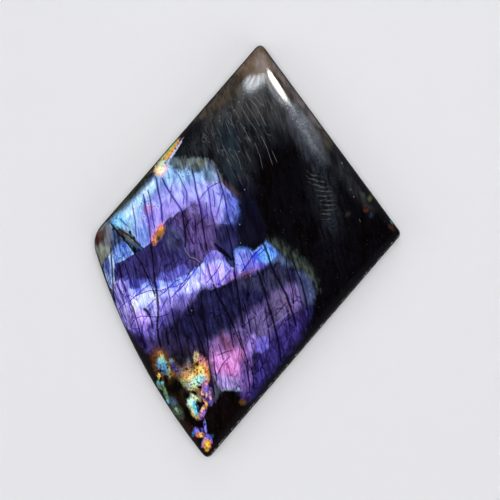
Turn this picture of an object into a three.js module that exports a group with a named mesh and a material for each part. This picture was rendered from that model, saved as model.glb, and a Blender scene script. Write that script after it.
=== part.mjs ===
// A polished labradorite cabochon: one solid piece of stone, cut to a kite with three straight sides and one
// bowed side. It has a flat back, a small bevel under the rim, a slightly tapered girdle, and a low domed face
// that rolls over at a narrow shoulder.
// Units are millimetres. +Z is up through the domed face, +Y runs along the long diagonal, and the origin is
// the middle of the flat back.
import * as THREE from "three";

// Where the sides would meet if the corners were sharp
const TOP = new THREE.Vector2(-2.1, 38.6);
const RIGHT = new THREE.Vector2(28.04, 7.0);
const BOTTOM = new THREE.Vector2(-2.1, -38.65);
const LEFT = new THREE.Vector2(-28.38, -0.7);

// The lower left side is bowed: an arc through LEFT and BOTTOM that stands this far out from a straight side
const BOW = 2.4;

// How much of each side a rounded corner takes
const TOP_ROUND = 1.5;
const RIGHT_ROUND = 1.0;
const BOTTOM_ROUND = 1.5;
const LEFT_ROUND = 2.9;

// Heights and insets of the edge
const BEVEL = 0.4;
const GIRDLE_HEIGHT = 2.9;
const GIRDLE_TAPER = 0.35;

// The face is two soft steps up from the girdle: a tight one at the shoulder and a wide one for the dome
const SHOULDER_RISE = 1.7;
const SHOULDER_REACH = 0.8;
const DOME_RISE = 2.6;
const DOME_REACH = 6.0;

// The middle, which is about as far from every side, and that distance
const MIDDLE = new THREE.Vector2(-1.5, 1.6);
const MEAN_DEPTH = 23.3;

// How finely the surface is divided
const STATIONS = 200;
const FACE_RINGS = 16;
const RING_GRADING = 1.8;

/** The centre and radius of the arc that bows out from the chord a to b, which the outline follows from a to b. */
function bowedSide(a, b, bow) {
  const chord = b.clone().sub(a);
  const half = chord.length() / 2;
  const radius = (half * half + bow * bow) / (2 * bow);
  const inward = new THREE.Vector2(-chord.y, chord.x).normalize();
  const centre = a.clone().add(b).multiplyScalar(0.5).addScaledVector(inward, radius - bow);
  return { centre, radius };
}

const lowerLeft = bowedSide(LEFT, BOTTOM, BOW);

/** The point this far along the straight side from one corner to another. */
function along(from, to, distance) {
  return from.clone().addScaledVector(to.clone().sub(from).normalize(), distance);
}

/** The direction of a point on the bowed side, as an angle at the arc's centre. */
function bowAngle(point) {
  return Math.atan2(point.y - lowerLeft.centre.y, point.x - lowerLeft.centre.x);
}

/** The kite's outline, anticlockwise from the top corner, with each corner rounded. */
function kiteOutline() {
  const shape = new THREE.Shape();
  const topLeft = along(TOP, LEFT, TOP_ROUND);
  const leftTop = along(LEFT, TOP, LEFT_ROUND);
  const arcStart = bowAngle(LEFT) + LEFT_ROUND / lowerLeft.radius;
  const arcEnd = bowAngle(BOTTOM) - BOTTOM_ROUND / lowerLeft.radius;
  const onArc = (angle) =>
    new THREE.Vector2(Math.cos(angle), Math.sin(angle)).multiplyScalar(lowerLeft.radius).add(lowerLeft.centre);
  const bottomRight = along(BOTTOM, RIGHT, BOTTOM_ROUND);
  const rightBottom = along(RIGHT, BOTTOM, RIGHT_ROUND);
  const rightTop = along(RIGHT, TOP, RIGHT_ROUND);
  const topRight = along(TOP, RIGHT, TOP_ROUND);
  const leftBottom = onArc(arcStart);
  shape.moveTo(topLeft.x, topLeft.y);
  shape.lineTo(leftTop.x, leftTop.y);
  shape.quadraticCurveTo(LEFT.x, LEFT.y, leftBottom.x, leftBottom.y);
  shape.absarc(lowerLeft.centre.x, lowerLeft.centre.y, lowerLeft.radius, arcStart, arcEnd, false);
  shape.quadraticCurveTo(BOTTOM.x, BOTTOM.y, bottomRight.x, bottomRight.y);
  shape.lineTo(rightBottom.x, rightBottom.y);
  shape.quadraticCurveTo(RIGHT.x, RIGHT.y, rightTop.x, rightTop.y);
  shape.lineTo(topRight.x, topRight.y);
  shape.quadraticCurveTo(TOP.x, TOP.y, topLeft.x, topLeft.y);
  return shape;
}

/** How far a point is inside the straight side that runs anticlockwise from a to b. */
function insideSide(point, a, b) {
  const side = b.clone().sub(a).normalize();
  return side.x * (point.y - a.y) - side.y * (point.x - a.x);
}

/** The height of the domed face over a point: each step climbs as the point moves in from all four sides. */
function faceHeight(point) {
  const depths = [
    insideSide(point, TOP, LEFT),
    lowerLeft.radius - point.distanceTo(lowerLeft.centre),
    insideSide(point, BOTTOM, RIGHT),
    insideSide(point, RIGHT, TOP),
  ].map((depth) => Math.max(0, depth - GIRDLE_TAPER));
  const climb = (reach) => depths.reduce((product, depth) => product * (1 - Math.exp(-depth / reach)), 1);
  return GIRDLE_HEIGHT + SHOULDER_RISE * climb(SHOULDER_REACH) + DOME_RISE * climb(DOME_REACH);
}

/** Half of the cross-section, from the back's middle round to the face's: x is the share of the way out. */
function crossSection() {
  const inset = (distance) => 1 - distance / MEAN_DEPTH;
  const rim = inset(GIRDLE_TAPER);
  const points = [
    new THREE.Vector2(0, 0),
    new THREE.Vector2(inset(BEVEL), 0),
    new THREE.Vector2(1, BEVEL),
    new THREE.Vector2(rim, GIRDLE_HEIGHT),
  ];
  for (let ring = 1; ring <= FACE_RINGS; ring++) {
    points.push(new THREE.Vector2(rim * (1 - (ring / FACE_RINGS) ** RING_GRADING), GIRDLE_HEIGHT));
  }
  return points;
}

/** The stone: a turned blank, stretched from a circle to the kite and domed. */
function cabochonGeometry() {
  const section = crossSection();
  const blank = new THREE.LatheGeometry(section, STATIONS);
  const outline = kiteOutline().getSpacedPoints(STATIONS);
  outline[STATIONS].copy(outline[0]);
  const position = blank.getAttribute("position");
  for (let i = 0; i < position.count; i++) {
    const station = Math.floor(i / section.length);
    const { x: share, y: height } = section[i % section.length];
    const plan = MIDDLE.clone().lerp(outline[station], share);
    const onFace = height === GIRDLE_HEIGHT;
    position.setXYZ(i, plan.x, plan.y, onFace ? faceHeight(plan) : height);
  }
  blank.computeVertexNormals();
  return blank;
}

const stoneMaterial = new THREE.MeshStandardMaterial({ color: 0x1c1f2e, roughness: 0.12, metalness: 0.0 });

const cabochon = new THREE.Mesh(cabochonGeometry(), stoneMaterial);
cabochon.name = "labradorite_stone";

const part = new THREE.Group();
part.add(cabochon);

export default part;
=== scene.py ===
# %% [markdown]
# A labradorite cabochon, built as a lesson in procedural stone.
#
# The stone is one polished piece: a kite with a low dome, nearly black, with violet and blue flash that
# shows only in some of its grains. Everything that makes it look like labradorite lies under a clear
# polish, so the mesh stays smooth and the work goes into fields: numbers stored on the mesh that say how
# far each point is from the edge of a colour, and nodes that turn those distances into ragged edges,
# streaks and cracks.
#
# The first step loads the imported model. It fixes where the stone lies and how big it is.

# %% Load the frame
import math

import bpy
import numpy as np
from mathutils import Matrix, Vector


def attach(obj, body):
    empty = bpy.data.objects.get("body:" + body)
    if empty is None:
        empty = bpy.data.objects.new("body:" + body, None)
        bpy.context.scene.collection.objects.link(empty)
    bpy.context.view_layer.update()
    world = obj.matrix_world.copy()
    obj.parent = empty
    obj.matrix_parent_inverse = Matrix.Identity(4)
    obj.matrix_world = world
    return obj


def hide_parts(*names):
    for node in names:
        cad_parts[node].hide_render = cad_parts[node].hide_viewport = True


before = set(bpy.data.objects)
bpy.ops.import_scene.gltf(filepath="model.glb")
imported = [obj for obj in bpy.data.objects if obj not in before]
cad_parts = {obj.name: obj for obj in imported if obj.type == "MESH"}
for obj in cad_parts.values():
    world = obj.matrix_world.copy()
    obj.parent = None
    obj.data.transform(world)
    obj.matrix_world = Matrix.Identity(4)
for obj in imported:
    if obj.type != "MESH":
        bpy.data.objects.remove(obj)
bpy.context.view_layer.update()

print("frame holds", sorted(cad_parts))

# %% [markdown]
# The stone's driving sizes come next, in millimetres. Three sides of the kite are straight and the lower
# left one is bowed. A polished stone has no sharp corner anywhere, so each corner is rounded by the
# length that it takes from the sides that meet there.

# %% Driving sizes
TOP = np.array([-2.1, 38.6])
RIGHT = np.array([28.04, 7.0])
BOTTOM = np.array([-2.1, -38.65])
LEFT = np.array([-28.38, -0.7])
BOW = 2.4
TOP_ROUND, RIGHT_ROUND, BOTTOM_ROUND, LEFT_ROUND = 1.5, 1.0, 1.5, 2.9
BEVEL = 0.4
GIRDLE_HEIGHT, GIRDLE_TAPER = 2.9, 0.35
SHOULDER_RISE, SHOULDER_REACH = 1.7, 0.8
DOME_RISE, DOME_REACH = 2.6, 6.0
MIDDLE, MEAN_DEPTH = np.array([-1.5, 1.6]), 23.3
METRES = 0.001

# %% [markdown]
# The bowed side is an arc, and its centre follows from the chord and the bow. The other three are lines.
# A corner is a quadratic curve whose control point is the sharp corner. Each side is drawn from the
# middle of one corner to the middle of the next, so the four sides meet end to end and can carry a grid
# between them.

# %% The four sides
def arc_through(a, b, bow):
    """Centre and radius of an arc: radius = (half chord squared + bow squared) / twice the bow."""
    chord = b - a
    half = np.linalg.norm(chord) / 2
    radius = (half**2 + bow**2) / (2 * bow)
    inward = np.array([-chord[1], chord[0]]) / (2 * half)
    return (a + b) / 2 + inward * (radius - bow), radius


ARC_CENTRE, ARC_RADIUS = arc_through(LEFT, BOTTOM, BOW)


def along(start, end, distance):
    """The point at a distance from start on the line to end."""
    return start + (end - start) * distance / np.linalg.norm(end - start)


def on_arc(angle):
    """Points of the bowed side: centre + radius times (cosine, sine) of the angle."""
    return ARC_CENTRE + ARC_RADIUS * np.stack([np.cos(angle), np.sin(angle)], axis=-1)


def half_corner(before, corner, after, shares):
    """Part of a corner: (1 - t) squared * before + 2 (1 - t) t * corner + t squared * after."""
    t = shares[:, None]
    return (1 - t) ** 2 * before + 2 * (1 - t) * t * corner + t**2 * after


arc_start = math.atan2(*(LEFT - ARC_CENTRE)[::-1]) % math.tau + LEFT_ROUND / ARC_RADIUS
arc_end = math.atan2(*(BOTTOM - ARC_CENTRE)[::-1]) % math.tau - BOTTOM_ROUND / ARC_RADIUS
CORNERS = {
    "top": (along(TOP, RIGHT, TOP_ROUND), TOP, along(TOP, LEFT, TOP_ROUND)),
    "left": (along(LEFT, TOP, LEFT_ROUND), LEFT, on_arc(arc_start)),
    "bottom": (on_arc(arc_end), BOTTOM, along(BOTTOM, RIGHT, BOTTOM_ROUND)),
    "right": (along(RIGHT, BOTTOM, RIGHT_ROUND), RIGHT, along(RIGHT, TOP, RIGHT_ROUND)),
}


CORNER_STEPS, RUN_STEPS = 30, 400


def side(first, last):
    """One side as a dense path: half of a corner, the run between, then half of the next corner."""
    opening = half_corner(*CORNERS[first], np.linspace(0.5, 1.0, CORNER_STEPS))
    closing = half_corner(*CORNERS[last], np.linspace(0.0, 0.5, CORNER_STEPS))
    run = np.linspace(opening[-1], closing[0], RUN_STEPS)
    if first == "left":
        run = on_arc(np.linspace(arc_start, arc_end, RUN_STEPS))
    return np.concatenate([opening, run[1:-1], closing])


def spaced(path, shares):
    """Points at the given shares of a path's length, by interpolation along its running length."""
    steps = np.linalg.norm(np.diff(path, axis=0), axis=1)
    length = np.concatenate([[0], np.cumsum(steps)])
    wanted = shares * length[-1]
    return np.stack([np.interp(wanted, length, path[:, axis]) for axis in (0, 1)], axis=-1)


print("bowed side: radius", round(float(ARC_RADIUS), 1), "mm")

# %% [markdown]
# The face rises in two soft steps. Each step is a product of four terms, one for each side, and a term
# climbs from nothing at its side towards one further in. The product makes the steps fade into each other
# at the corners, the way a polishing wheel leaves them.

# %% The face's height
def unit(vector):
    return vector / np.linalg.norm(vector)


def depth_inside(points, a, b):
    """Distance inside the straight side from a to b: the cross product of its direction with point - a."""
    direction = unit(b - a)
    offset = points - a
    return direction[0] * offset[..., 1] - direction[1] * offset[..., 0]


def side_depths(points):
    """Distance of each point inside the upper left, lower left, lower right and upper right sides."""
    bowed = ARC_RADIUS - np.linalg.norm(points - ARC_CENTRE, axis=-1)
    upper_left, lower_right = depth_inside(points, TOP, LEFT), depth_inside(points, BOTTOM, RIGHT)
    return [upper_left, bowed, lower_right, depth_inside(points, RIGHT, TOP)]


def face_height(points):
    """Girdle height + shoulder rise * product of (1 - exp(-depth / reach)) + the same for the dome."""
    height = np.full(points.shape[:-1], GIRDLE_HEIGHT)
    for rise, reach in ((SHOULDER_RISE, SHOULDER_REACH), (DOME_RISE, DOME_REACH)):
        climb = np.ones(points.shape[:-1])
        for depth in side_depths(points):
            climb *= 1 - np.exp(-np.maximum(depth - GIRDLE_TAPER, 0) / reach)
        height += rise * climb
    return height


print("height at the middle", round(float(face_height(MIDDLE)), 2), "mm")

# %% [markdown]
# A four-sided face takes a Coons patch: a grid blended from its four edges. It is finer close to the
# edges, where the shoulder turns, and even over the rest, so the fields stored on it have about the same
# detail everywhere. A grid that ran out from the middle like a wheel would waste most of its points near
# the hub.

# %% The face as a grid
CELLS = 256
MARGIN_CELLS, MARGIN_SHARE = 15, 0.028


def graded():
    """Shares from 0 to 1 with small even steps in both margins and larger even steps between them."""
    turns = [0, MARGIN_CELLS, CELLS - MARGIN_CELLS, CELLS]
    return np.interp(np.arange(CELLS + 1), turns, [0, MARGIN_SHARE, 1 - MARGIN_SHARE, 1])


def coons(low, high, start, end, u, v):
    """(1-v) low(u) + v high(u) + (1-u) start(v) + u end(v), less the same blend of the four corners."""
    u, v = u[None, :, None], v[:, None, None]
    edges = (1 - v) * low[None] + v * high[None] + (1 - u) * start[:, None] + u * end[:, None]
    corners = (1 - u) * (1 - v) * low[0] + u * (1 - v) * low[-1] + u * v * high[-1] + (1 - u) * v * high[0]
    return edges - corners


shares = graded()
lower_right = spaced(side("bottom", "right"), shares)
upper_right = spaced(side("right", "top"), shares)
upper_left = spaced(side("top", "left"), shares)
lower_left = spaced(side("left", "bottom"), shares)
outline_grid = coons(lower_right, upper_left[::-1], lower_left[::-1], upper_right, shares, shares)
rim_share = 1 - GIRDLE_TAPER / MEAN_DEPTH
face_plan = MIDDLE + rim_share * (outline_grid - MIDDLE)
face = np.concatenate([face_plan, face_height(face_plan)[..., None]], axis=-1)
print("face grid", face.shape[:2])

# %% [markdown]
# Below the face, the girdle, the bevel and the back are the outline again, shrunk towards the middle by
# the profile's inset and set at its height. The two edges of the bevel get small rounds, because a
# lapidary always breaks them. Tiny chips nick the lower edge along the lower right side: each is a
# shallow bite out of it.

# %% Girdle, bevel and back
EDGE_ROUND = 0.16
GIRDLE_RINGS, BACK_RINGS, ROUND_RINGS = 8, 7, 4
CHIPS, CHIP_DEPTH, CHIP_WIDTH = 46, 0.13, 0.9
CHIP_REACH = 0.35
CHIP_SEED, CHIP_SPAN = 7, (0.03, 0.98)
WIDTH_SHARES, DEPTH_SHARES = (0.2, 1.0), (0.3, 1.0)


def rounded_edge(before, corner, after):
    """A small round between two straight runs of the profile, as a quadratic curve through the corner."""
    start, end = along(corner, before, EDGE_ROUND), along(corner, after, EDGE_ROUND)
    return half_corner(start, corner, end, np.linspace(0, 1, ROUND_RINGS))


rim = np.array([GIRDLE_TAPER, GIRDLE_HEIGHT])
widest = np.array([0.0, BEVEL])
foot = np.array([BEVEL, 0.0])
hub = np.array([MEAN_DEPTH, 0.0])
profile = np.concatenate([
    np.linspace(rim, along(widest, rim, EDGE_ROUND), GIRDLE_RINGS)[1:-1],
    rounded_edge(rim, widest, foot),
    rounded_edge(widest, foot, hub),
    np.linspace(foot, hub, BACK_RINGS + 2)[1:-1],
])
loop = np.concatenate([lower_right[:-1], upper_right[:-1], upper_left[:-1], lower_left[:-1]])


def chip_depths(points):
    """Sum over seeded chips of depth * (1 - (distance / width) squared), where that is positive."""
    dice = np.random.default_rng(CHIP_SEED)
    bites = np.zeros(len(points))
    for share in dice.uniform(*CHIP_SPAN, CHIPS):
        place = BOTTOM + share * (RIGHT - BOTTOM)
        width = CHIP_WIDTH * dice.uniform(*WIDTH_SHARES)
        distance = np.linalg.norm(points - place, axis=1)
        bites += CHIP_DEPTH * dice.uniform(*DEPTH_SHARES) * np.maximum(0, 1 - (distance / width) ** 2)
    return np.minimum(bites, CHIP_DEPTH)


bites = chip_depths(loop)
rings = []
for inset, height in profile:
    bitten = inset + bites * max(0, 1 - abs(height - BEVEL) / CHIP_REACH)
    plan = MIDDLE + (1 - bitten[:, None] / MEAN_DEPTH) * (loop - MIDDLE)
    rings.append(np.column_stack([plan, np.full(len(loop), height)]))
rings = np.array(rings)
print("rings below the face", len(rings), "of", len(loop), "points")

# %% [markdown]
# The grid and the rings become one closed mesh. The face's outer points are the first ring, so nothing is
# merged afterwards, and the back closes on a single point.

# %% One closed mesh
def grid_quads(index):
    """Four corners of every cell of a grid of point numbers, in anticlockwise order."""
    corners = (index[:-1, :-1], index[:-1, 1:], index[1:, 1:], index[1:, :-1])
    return np.stack(corners, axis=-1).reshape(-1, 4)


face_index = np.arange(face.shape[0] * face.shape[1]).reshape(face.shape[:2])
low_edge, high_edge = face_index[0, :-1], face_index[-1, :0:-1]
rim_index = np.concatenate([low_edge, face_index[:-1, -1], high_edge, face_index[:0:-1, 0]])
ring_index = face_index.size + np.arange(rings.shape[0] * rings.shape[1]).reshape(rings.shape[:2])
band_index = np.vstack([rim_index, ring_index])
band_index = np.column_stack([band_index, band_index[:, 0]])
hub_index = face_index.size + ring_index.size
points = np.vstack([face.reshape(-1, 3), rings.reshape(-1, 3), [[*MIDDLE, 0.0]]])
quads = np.vstack([grid_quads(face_index), grid_quads(band_index[::-1])])
last = band_index[-1]
fan = np.column_stack([last[1:], last[:-1], np.full(len(last) - 1, hub_index)])

mesh = bpy.data.meshes.new("labradorite_cabochon")
mesh.from_pydata(points * METRES, [], quads.tolist() + fan.tolist())
mesh.polygons.foreach_set("use_smooth", np.ones(len(mesh.polygons), dtype=bool))
stone = bpy.data.objects.new("labradorite_cabochon", mesh)
bpy.context.scene.collection.objects.link(stone)
triangles = 2 * len(quads) + len(fan)
print("triangles", triangles, "valid", not mesh.validate())

# %% [markdown]
# The colours were drawn over the photograph, as outlines with a few points each, in its pixels. A pixel
# is turned into a place on the stone with the camera's own numbers: the scale at the girdle, the tilt of
# the stone's long axis, and a small pull towards the middle, because the dome stands nearer the lens.

# %% From the photograph to the stone
PHOTO_MIDDLE = 250.0
MM_PER_PIXEL = 0.18344
VIEW_TILT = math.radians(7.238)
VIEW_CENTRE = np.array([0.79, 0.56])
LENS, SENSOR = 100.0, 36.0
CAMERA_HEIGHT = 2 * PHOTO_MIDDLE * MM_PER_PIXEL * LENS / SENSOR


def on_stone(pixels):
    """Turn photo pixels by the tilt, scale them to mm, and pull them in by height / camera height."""
    right, down = (np.array(pixels, dtype=float) - PHOTO_MIDDLE).T * MM_PER_PIXEL
    cosine, sine = math.cos(VIEW_TILT), math.sin(VIEW_TILT)
    flat = VIEW_CENTRE + np.stack([right * cosine + down * sine, right * sine - down * cosine], axis=-1)
    pull = 1 - face_height(flat)[..., None] / CAMERA_HEIGHT
    return VIEW_CENTRE + (flat - VIEW_CENTRE) * pull


print("the photo spans", round(2 * PHOTO_MIDDLE * MM_PER_PIXEL, 1), "mm")

# %% [markdown]
# Each colour zone has a softness and a raggedness in millimetres, a strength, a dark and a light tone
# that the grain mixes, and its outline. They are painted in this order, each over the last, from the
# smoky ground up.

# %% Colour zones of the dark ground
ZONES = []


def zone(name, soft, ragged, strength, dark, light, *outline):
    """Lay one more colour zone over those before it."""
    ZONES.append((name, soft, ragged, strength, dark, light, outline))


zone("smoky", 4.0, 0.6, 0.95, (12, 15, 20), (33, 37, 43),
     (250, 76), (226, 96), (203, 120), (186, 140), (176, 152), (166, 166), (182, 168), (206, 158),
     (222, 170), (236, 184), (248, 196), (252, 180), (254, 160), (262, 146), (280, 140), (294, 140),
     (300, 128), (290, 110), (276, 96), (262, 84))
zone("smoky_top", 2.5, 0.6, 0.9, (36, 36, 38), (60, 60, 62),
     (256, 78), (236, 92), (216, 108), (204, 122), (214, 128), (232, 122), (250, 120), (268, 122),
     (290, 128), (296, 120), (286, 102), (272, 88))
zone("teal_tint", 1.8, 0.8, 0.8, (19, 29, 36), (33, 46, 56),
     (222, 118), (234, 118), (238, 140), (240, 165), (240, 184), (232, 188), (226, 176), (222, 160),
     (216, 140))
zone("navy_side", 2.5, 0.6, 0.85, (4, 4, 19), (13, 16, 37),
     (236, 180), (250, 180), (256, 200), (262, 222), (268, 240), (262, 240), (250, 246), (240, 246),
     (238, 230), (242, 212), (244, 200))
zone("brown_edge", 1.4, 0.6, 0.95, (47, 42, 38), (78, 70, 60),
     (262, 38), (228, 70), (206, 94), (188, 112), (186, 124), (204, 118), (214, 112), (226, 104), (236, 98),
     (244, 86), (258, 80), (272, 86), (284, 100), (298, 112), (312, 128), (322, 146), (330, 150),
     (334, 142), (318, 114), (300, 90), (280, 60))
zone("tan_apex", 2.4, 0.5, 0.9, (92, 76, 62), (114, 98, 84),
     (262, 36), (242, 58), (234, 70), (244, 76), (254, 75), (264, 74), (276, 76), (284, 68))
# Painted reflection: a pale mauve-grey spot at the top corner, where the light's reflection lies over the
# tan.
zone("mauve_sheen_spot", 1.2, 0.5, 0.8, (116, 106, 102), (144, 132, 126),
     (258, 53), (265, 55), (269, 63), (266, 71), (258, 72), (255, 64))
# Painted reflection: the mauve band along the upper right shoulder is the surroundings mirrored in the
# polish, painted into the colour.
zone("mauve_sheen_edge", 0.7, 0.4, 0.7, (88, 78, 80), (132, 120, 120),
     (276, 62), (300, 90), (322, 118), (326, 130), (316, 126), (300, 105), (284, 84), (270, 66))
# Painted sheen: the haze zones are the light's reflection in a smudge on the polish, painted into the
# colour. The smudge is real dirt, and its brightness is painted light.
zone("haze_sheen_top", 3.2, 0.3, 0.85, (54, 58, 66), (92, 97, 108),
     (286, 100), (296, 102), (310, 118), (322, 142), (326, 162), (318, 168), (306, 154), (298, 136),
     (290, 118))
zone("navy_mist", 3.5, 0.8, 0.8, (0, 0, 4), (9, 10, 20),
     (304, 202), (318, 208), (334, 216), (343, 232), (350, 250), (350, 266), (338, 272), (324, 262),
     (314, 244), (306, 224))
# Painted sheen of the light on the smudge, fainter lower down.
zone("haze_sheen_low", 4.0, 0.3, 0.9, (7, 9, 16), (31, 35, 43),
     (306, 148), (322, 148), (334, 172), (340, 196), (343, 215), (336, 236), (326, 236), (320, 215),
     (312, 190))
# Painted sheen: a faint grey reflection along the right shoulder.
zone("haze_sheen_side", 2.4, 0.3, 0.8, (22, 22, 27), (48, 50, 55),
     (334, 148), (344, 162), (354, 178), (366, 196), (374, 210), (364, 206), (350, 190), (338, 172))

# %% [markdown]
# The upper flash lights one large grain. It runs from sky blue at the stone's edge to violet, and stops
# at a crisp line where the next grain begins and only dusky purple comes through.

# %% Colour zones of the upper flash
zone("navy_halo", 1.2, 0.5, 0.9, (8, 12, 30), (18, 28, 62),
     (222, 176), (230, 184), (238, 194), (243, 204), (243, 216), (238, 228), (230, 232), (226, 226),
     (232, 214), (230, 200))
zone("upper_flash", 0.2, 0.35, 1.0, (138, 136, 226), (190, 198, 255),
     (110, 222), (119.5, 211), (133.5, 197.5), (142.5, 188), (153, 176.5), (158, 176), (166, 172),
     (168, 164), (171, 168), (176, 171), (182, 168), (190, 167), (200, 167), (207.5, 161), (213, 164),
     (218, 171.5), (221, 180), (225, 186), (230, 192), (234, 198), (236, 204), (236, 212), (234, 219),
     (229, 224), (217, 224), (205, 216), (198, 208), (194, 203.5), (188, 206.5), (182.5, 210.7), (176, 214),
     (173, 217.5), (169, 217.5), (164, 223.5), (160, 232), (154, 240), (150, 243.5), (144, 248), (140, 246),
     (135.6, 238.6), (129.3, 231), (119.5, 229))
zone("lilac_low", 1.8, 1.0, 0.8, (136, 118, 210), (172, 154, 248),
     (144, 210), (156, 206), (168, 202), (180, 199), (190, 200), (200, 198), (212, 206), (222, 212),
     (216, 222), (204, 216), (196, 204), (188, 206), (176, 214), (164, 222), (154, 238), (148, 228))
zone("sky_edge", 2.4, 1.2, 0.95, (96, 134, 188), (170, 216, 250),
     (104, 228), (116, 208), (132, 192), (150, 174), (166, 160), (186, 163), (206, 164), (212, 172),
     (205, 180), (192, 184), (176, 184), (163, 186), (154, 194), (146, 204), (140, 216), (137, 232),
     (134, 243), (122, 232))
zone("white_edge", 0.8, 0.6, 0.9, (180, 228, 255), (236, 255, 255),
     (118, 217), (124, 211), (131, 203), (138, 196), (143, 190), (149, 184), (154, 179), (158, 181),
     (155, 188), (151, 195), (145, 197), (141, 203), (137, 208), (133, 214), (127, 218), (121, 221))
zone("aqua_tip", 0.8, 0.5, 0.85, (90, 160, 226), (160, 240, 255),
     (107, 226), (116, 213), (124, 212), (127, 222), (120, 230))
zone("blue_right", 1.4, 0.8, 0.9, (34, 42, 98), (98, 120, 226),
     (218, 184), (226, 188), (233, 195), (238, 203), (238, 212), (235, 222), (228, 226), (222, 222),
     (225, 212), (226, 202), (222, 194))
zone("blue_heel", 1.6, 0.8, 0.7, (54, 96, 178), (110, 160, 238),
     (134, 236), (144, 222), (150, 228), (152, 240), (144, 250), (138, 247))
zone("rose_spots", 0.5, 0.6, 0.55, (186, 130, 186), (236, 184, 226),
     (143.5, 206), (147, 203), (152, 203), (153, 210), (149, 213), (145, 216))
zone("dim_rim", 1.3, 0.35, 1.0, (16, 18, 13), (60, 64, 54),
     (90, 238), (101, 223), (111, 219.5), (117, 214), (124, 208.5), (130.5, 201.5), (136.5, 196),
     (142, 189), (147.5, 183.5), (153, 177), (160, 168), (158, 158), (190, 116), (168, 128), (138, 164),
     (98, 208), (86, 230))
zone("green_fringe", 0.5, 0.8, 0.85, (38, 46, 48), (120, 134, 136),
     (183, 160), (190, 158), (200, 157), (208, 159), (214, 163), (221, 173), (224, 182), (219, 181),
     (214, 173), (208, 168), (200, 172), (193, 173), (186, 169))
zone("olive_fringe", 0.6, 1.2, 0.85, (22, 24, 24), (96, 106, 100),
     (168, 164), (173, 160), (182, 157), (189, 159), (187, 166), (184, 171), (179, 171), (173, 168))
zone("rust_fringe", 0.9, 1.2, 0.5, (26, 22, 30), (92, 68, 60),
     (219, 177), (226, 181), (233, 187), (239, 194), (239, 198), (231, 192), (224, 187), (218, 182))
zone("tan_fringe", 0.8, 1.2, 0.6, (56, 60, 54), (132, 138, 116),
     (193, 161), (198, 159), (204, 161), (206, 167), (200, 171), (194, 168))
zone("grey_window", 1.2, 0.8, 0.85, (48, 72, 84), (94, 132, 158),
     (202, 170), (209, 166), (215, 172), (217, 182), (210, 184), (204, 180))

# %% [markdown]
# The dusky band lies between the two bright ones. Its grain is turned away from the light, so only a deep
# purple comes through, with slate and navy where even that fails.

# %% Colour zones of the dusky band
zone("dusky", 0.15, 0.3, 1.0, (35, 31, 76), (62, 56, 121),
     (164, 223), (169, 217.5), (173, 217.5), (176, 214), (183, 211), (188, 206.5), (194, 203.5), (200, 205),
     (208, 214), (216, 224), (218, 236), (217, 245), (217.5, 250), (214.6, 249), (207.5, 252.6), (206, 258),
     (200.5, 264.5), (195.6, 267), (190, 272), (184, 276), (178, 280), (170, 284), (163.7, 284), (155, 290),
     (148, 286), (142, 288), (137, 291), (129.3, 290), (125, 286), (122, 281), (113, 281), (114.6, 264.5),
     (123.7, 260.3), (129.3, 256), (137.7, 252), (144, 247.7), (150, 243.5), (154, 240), (160, 232))
zone("purple_half", 2.2, 0.9, 0.95, (68, 52, 102), (106, 87, 152),
     (168, 217), (183, 211), (194, 203), (204, 206), (216, 222), (219, 245), (207.5, 253), (200, 263),
     (194, 262), (190, 250), (186, 240), (180, 228))
zone("purple_brow", 1.2, 0.8, 0.85, (104, 88, 150), (146, 128, 208),
     (186, 208), (194, 203.5), (200, 205), (208, 211), (218, 221), (222, 226), (214, 228), (206, 222),
     (198, 214), (190, 212))
zone("slate_patch", 1.2, 0.6, 0.6, (54, 58, 92), (88, 92, 132),
     (163, 232), (172, 226), (182, 234), (184, 246), (176, 250), (166, 246))
zone("ink_blot", 0.6, 0.4, 0.8, (8, 5, 26), (22, 18, 48),
     (175, 240), (181, 238), (184, 244), (181, 249), (176, 246))
zone("blue_shoulder", 0.7, 0.9, 0.9, (70, 66, 158), (116, 118, 228),
     (154, 284), (157, 277), (162, 272), (167, 274), (173, 270), (178, 266), (183, 264), (187, 267),
     (190, 271), (184, 276), (178, 280), (170, 285), (158, 287))
zone("blue_shoulder_left", 0.8, 0.9, 0.85, (57, 57, 144), (100, 107, 220),
     (122, 279), (126, 275), (131, 279), (138, 280), (145, 278), (152, 281), (152, 288), (142, 289),
     (134, 291), (126, 290))
zone("plum_foot", 0.8, 0.4, 0.8, (24, 17, 62), (60, 54, 120),
     (114, 266), (122, 264), (126, 272), (124, 279), (114, 281))
zone("navy_gap", 1.8, 0.9, 0.9, (18, 18, 50), (50, 50, 108),
     (216, 226), (226, 224), (234, 227), (237, 240), (238, 249), (234, 252), (231, 262), (222, 250),
     (216, 244))

# %% [markdown]
# At the left corner the stone is fractured and stained in grey, moss green and rust. A window of blue flash
# and a pale stripe show beside it.

# %% Colour zones of the left corner
zone("blue_window", 0.12, 0.25, 1.0, (54, 80, 184), (156, 204, 255),
     (113.9, 246), (121.6, 240.5), (127.2, 243.5), (134.9, 253.5), (129.3, 256.5), (123.7, 260.5),
     (115, 263.5), (112.5, 256))
zone("pale_stripe", 0.2, 0.3, 1.0, (66, 80, 156), (184, 214, 255),
     (103.5, 263), (109, 255), (113, 248), (114.5, 262), (114.5, 277), (113, 291), (110.5, 288), (107, 280),
     (104.5, 271))
zone("fracture_shade", 0.8, 0.8, 0.85, (24, 28, 40), (98, 128, 184),
     (110, 224), (118, 234), (125, 242), (121, 243), (114, 249), (111, 250), (109.6, 236))
zone("fracture", 0.5, 1.3, 0.85, (10, 9, 10), (72, 66, 58),
     (110, 221), (119.5, 227), (128, 230.5), (134.5, 237), (141, 246), (138, 247), (131, 241), (124, 237.5),
     (117, 233))
zone("grey_corner", 0.5, 0.5, 1.0, (70, 66, 69), (118, 120, 130),
     (92, 240), (98, 230), (110.3, 220), (111, 231), (110.5, 242), (113, 247.7), (109, 254.7), (103.3, 263),
     (99, 268), (94, 254))
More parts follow.
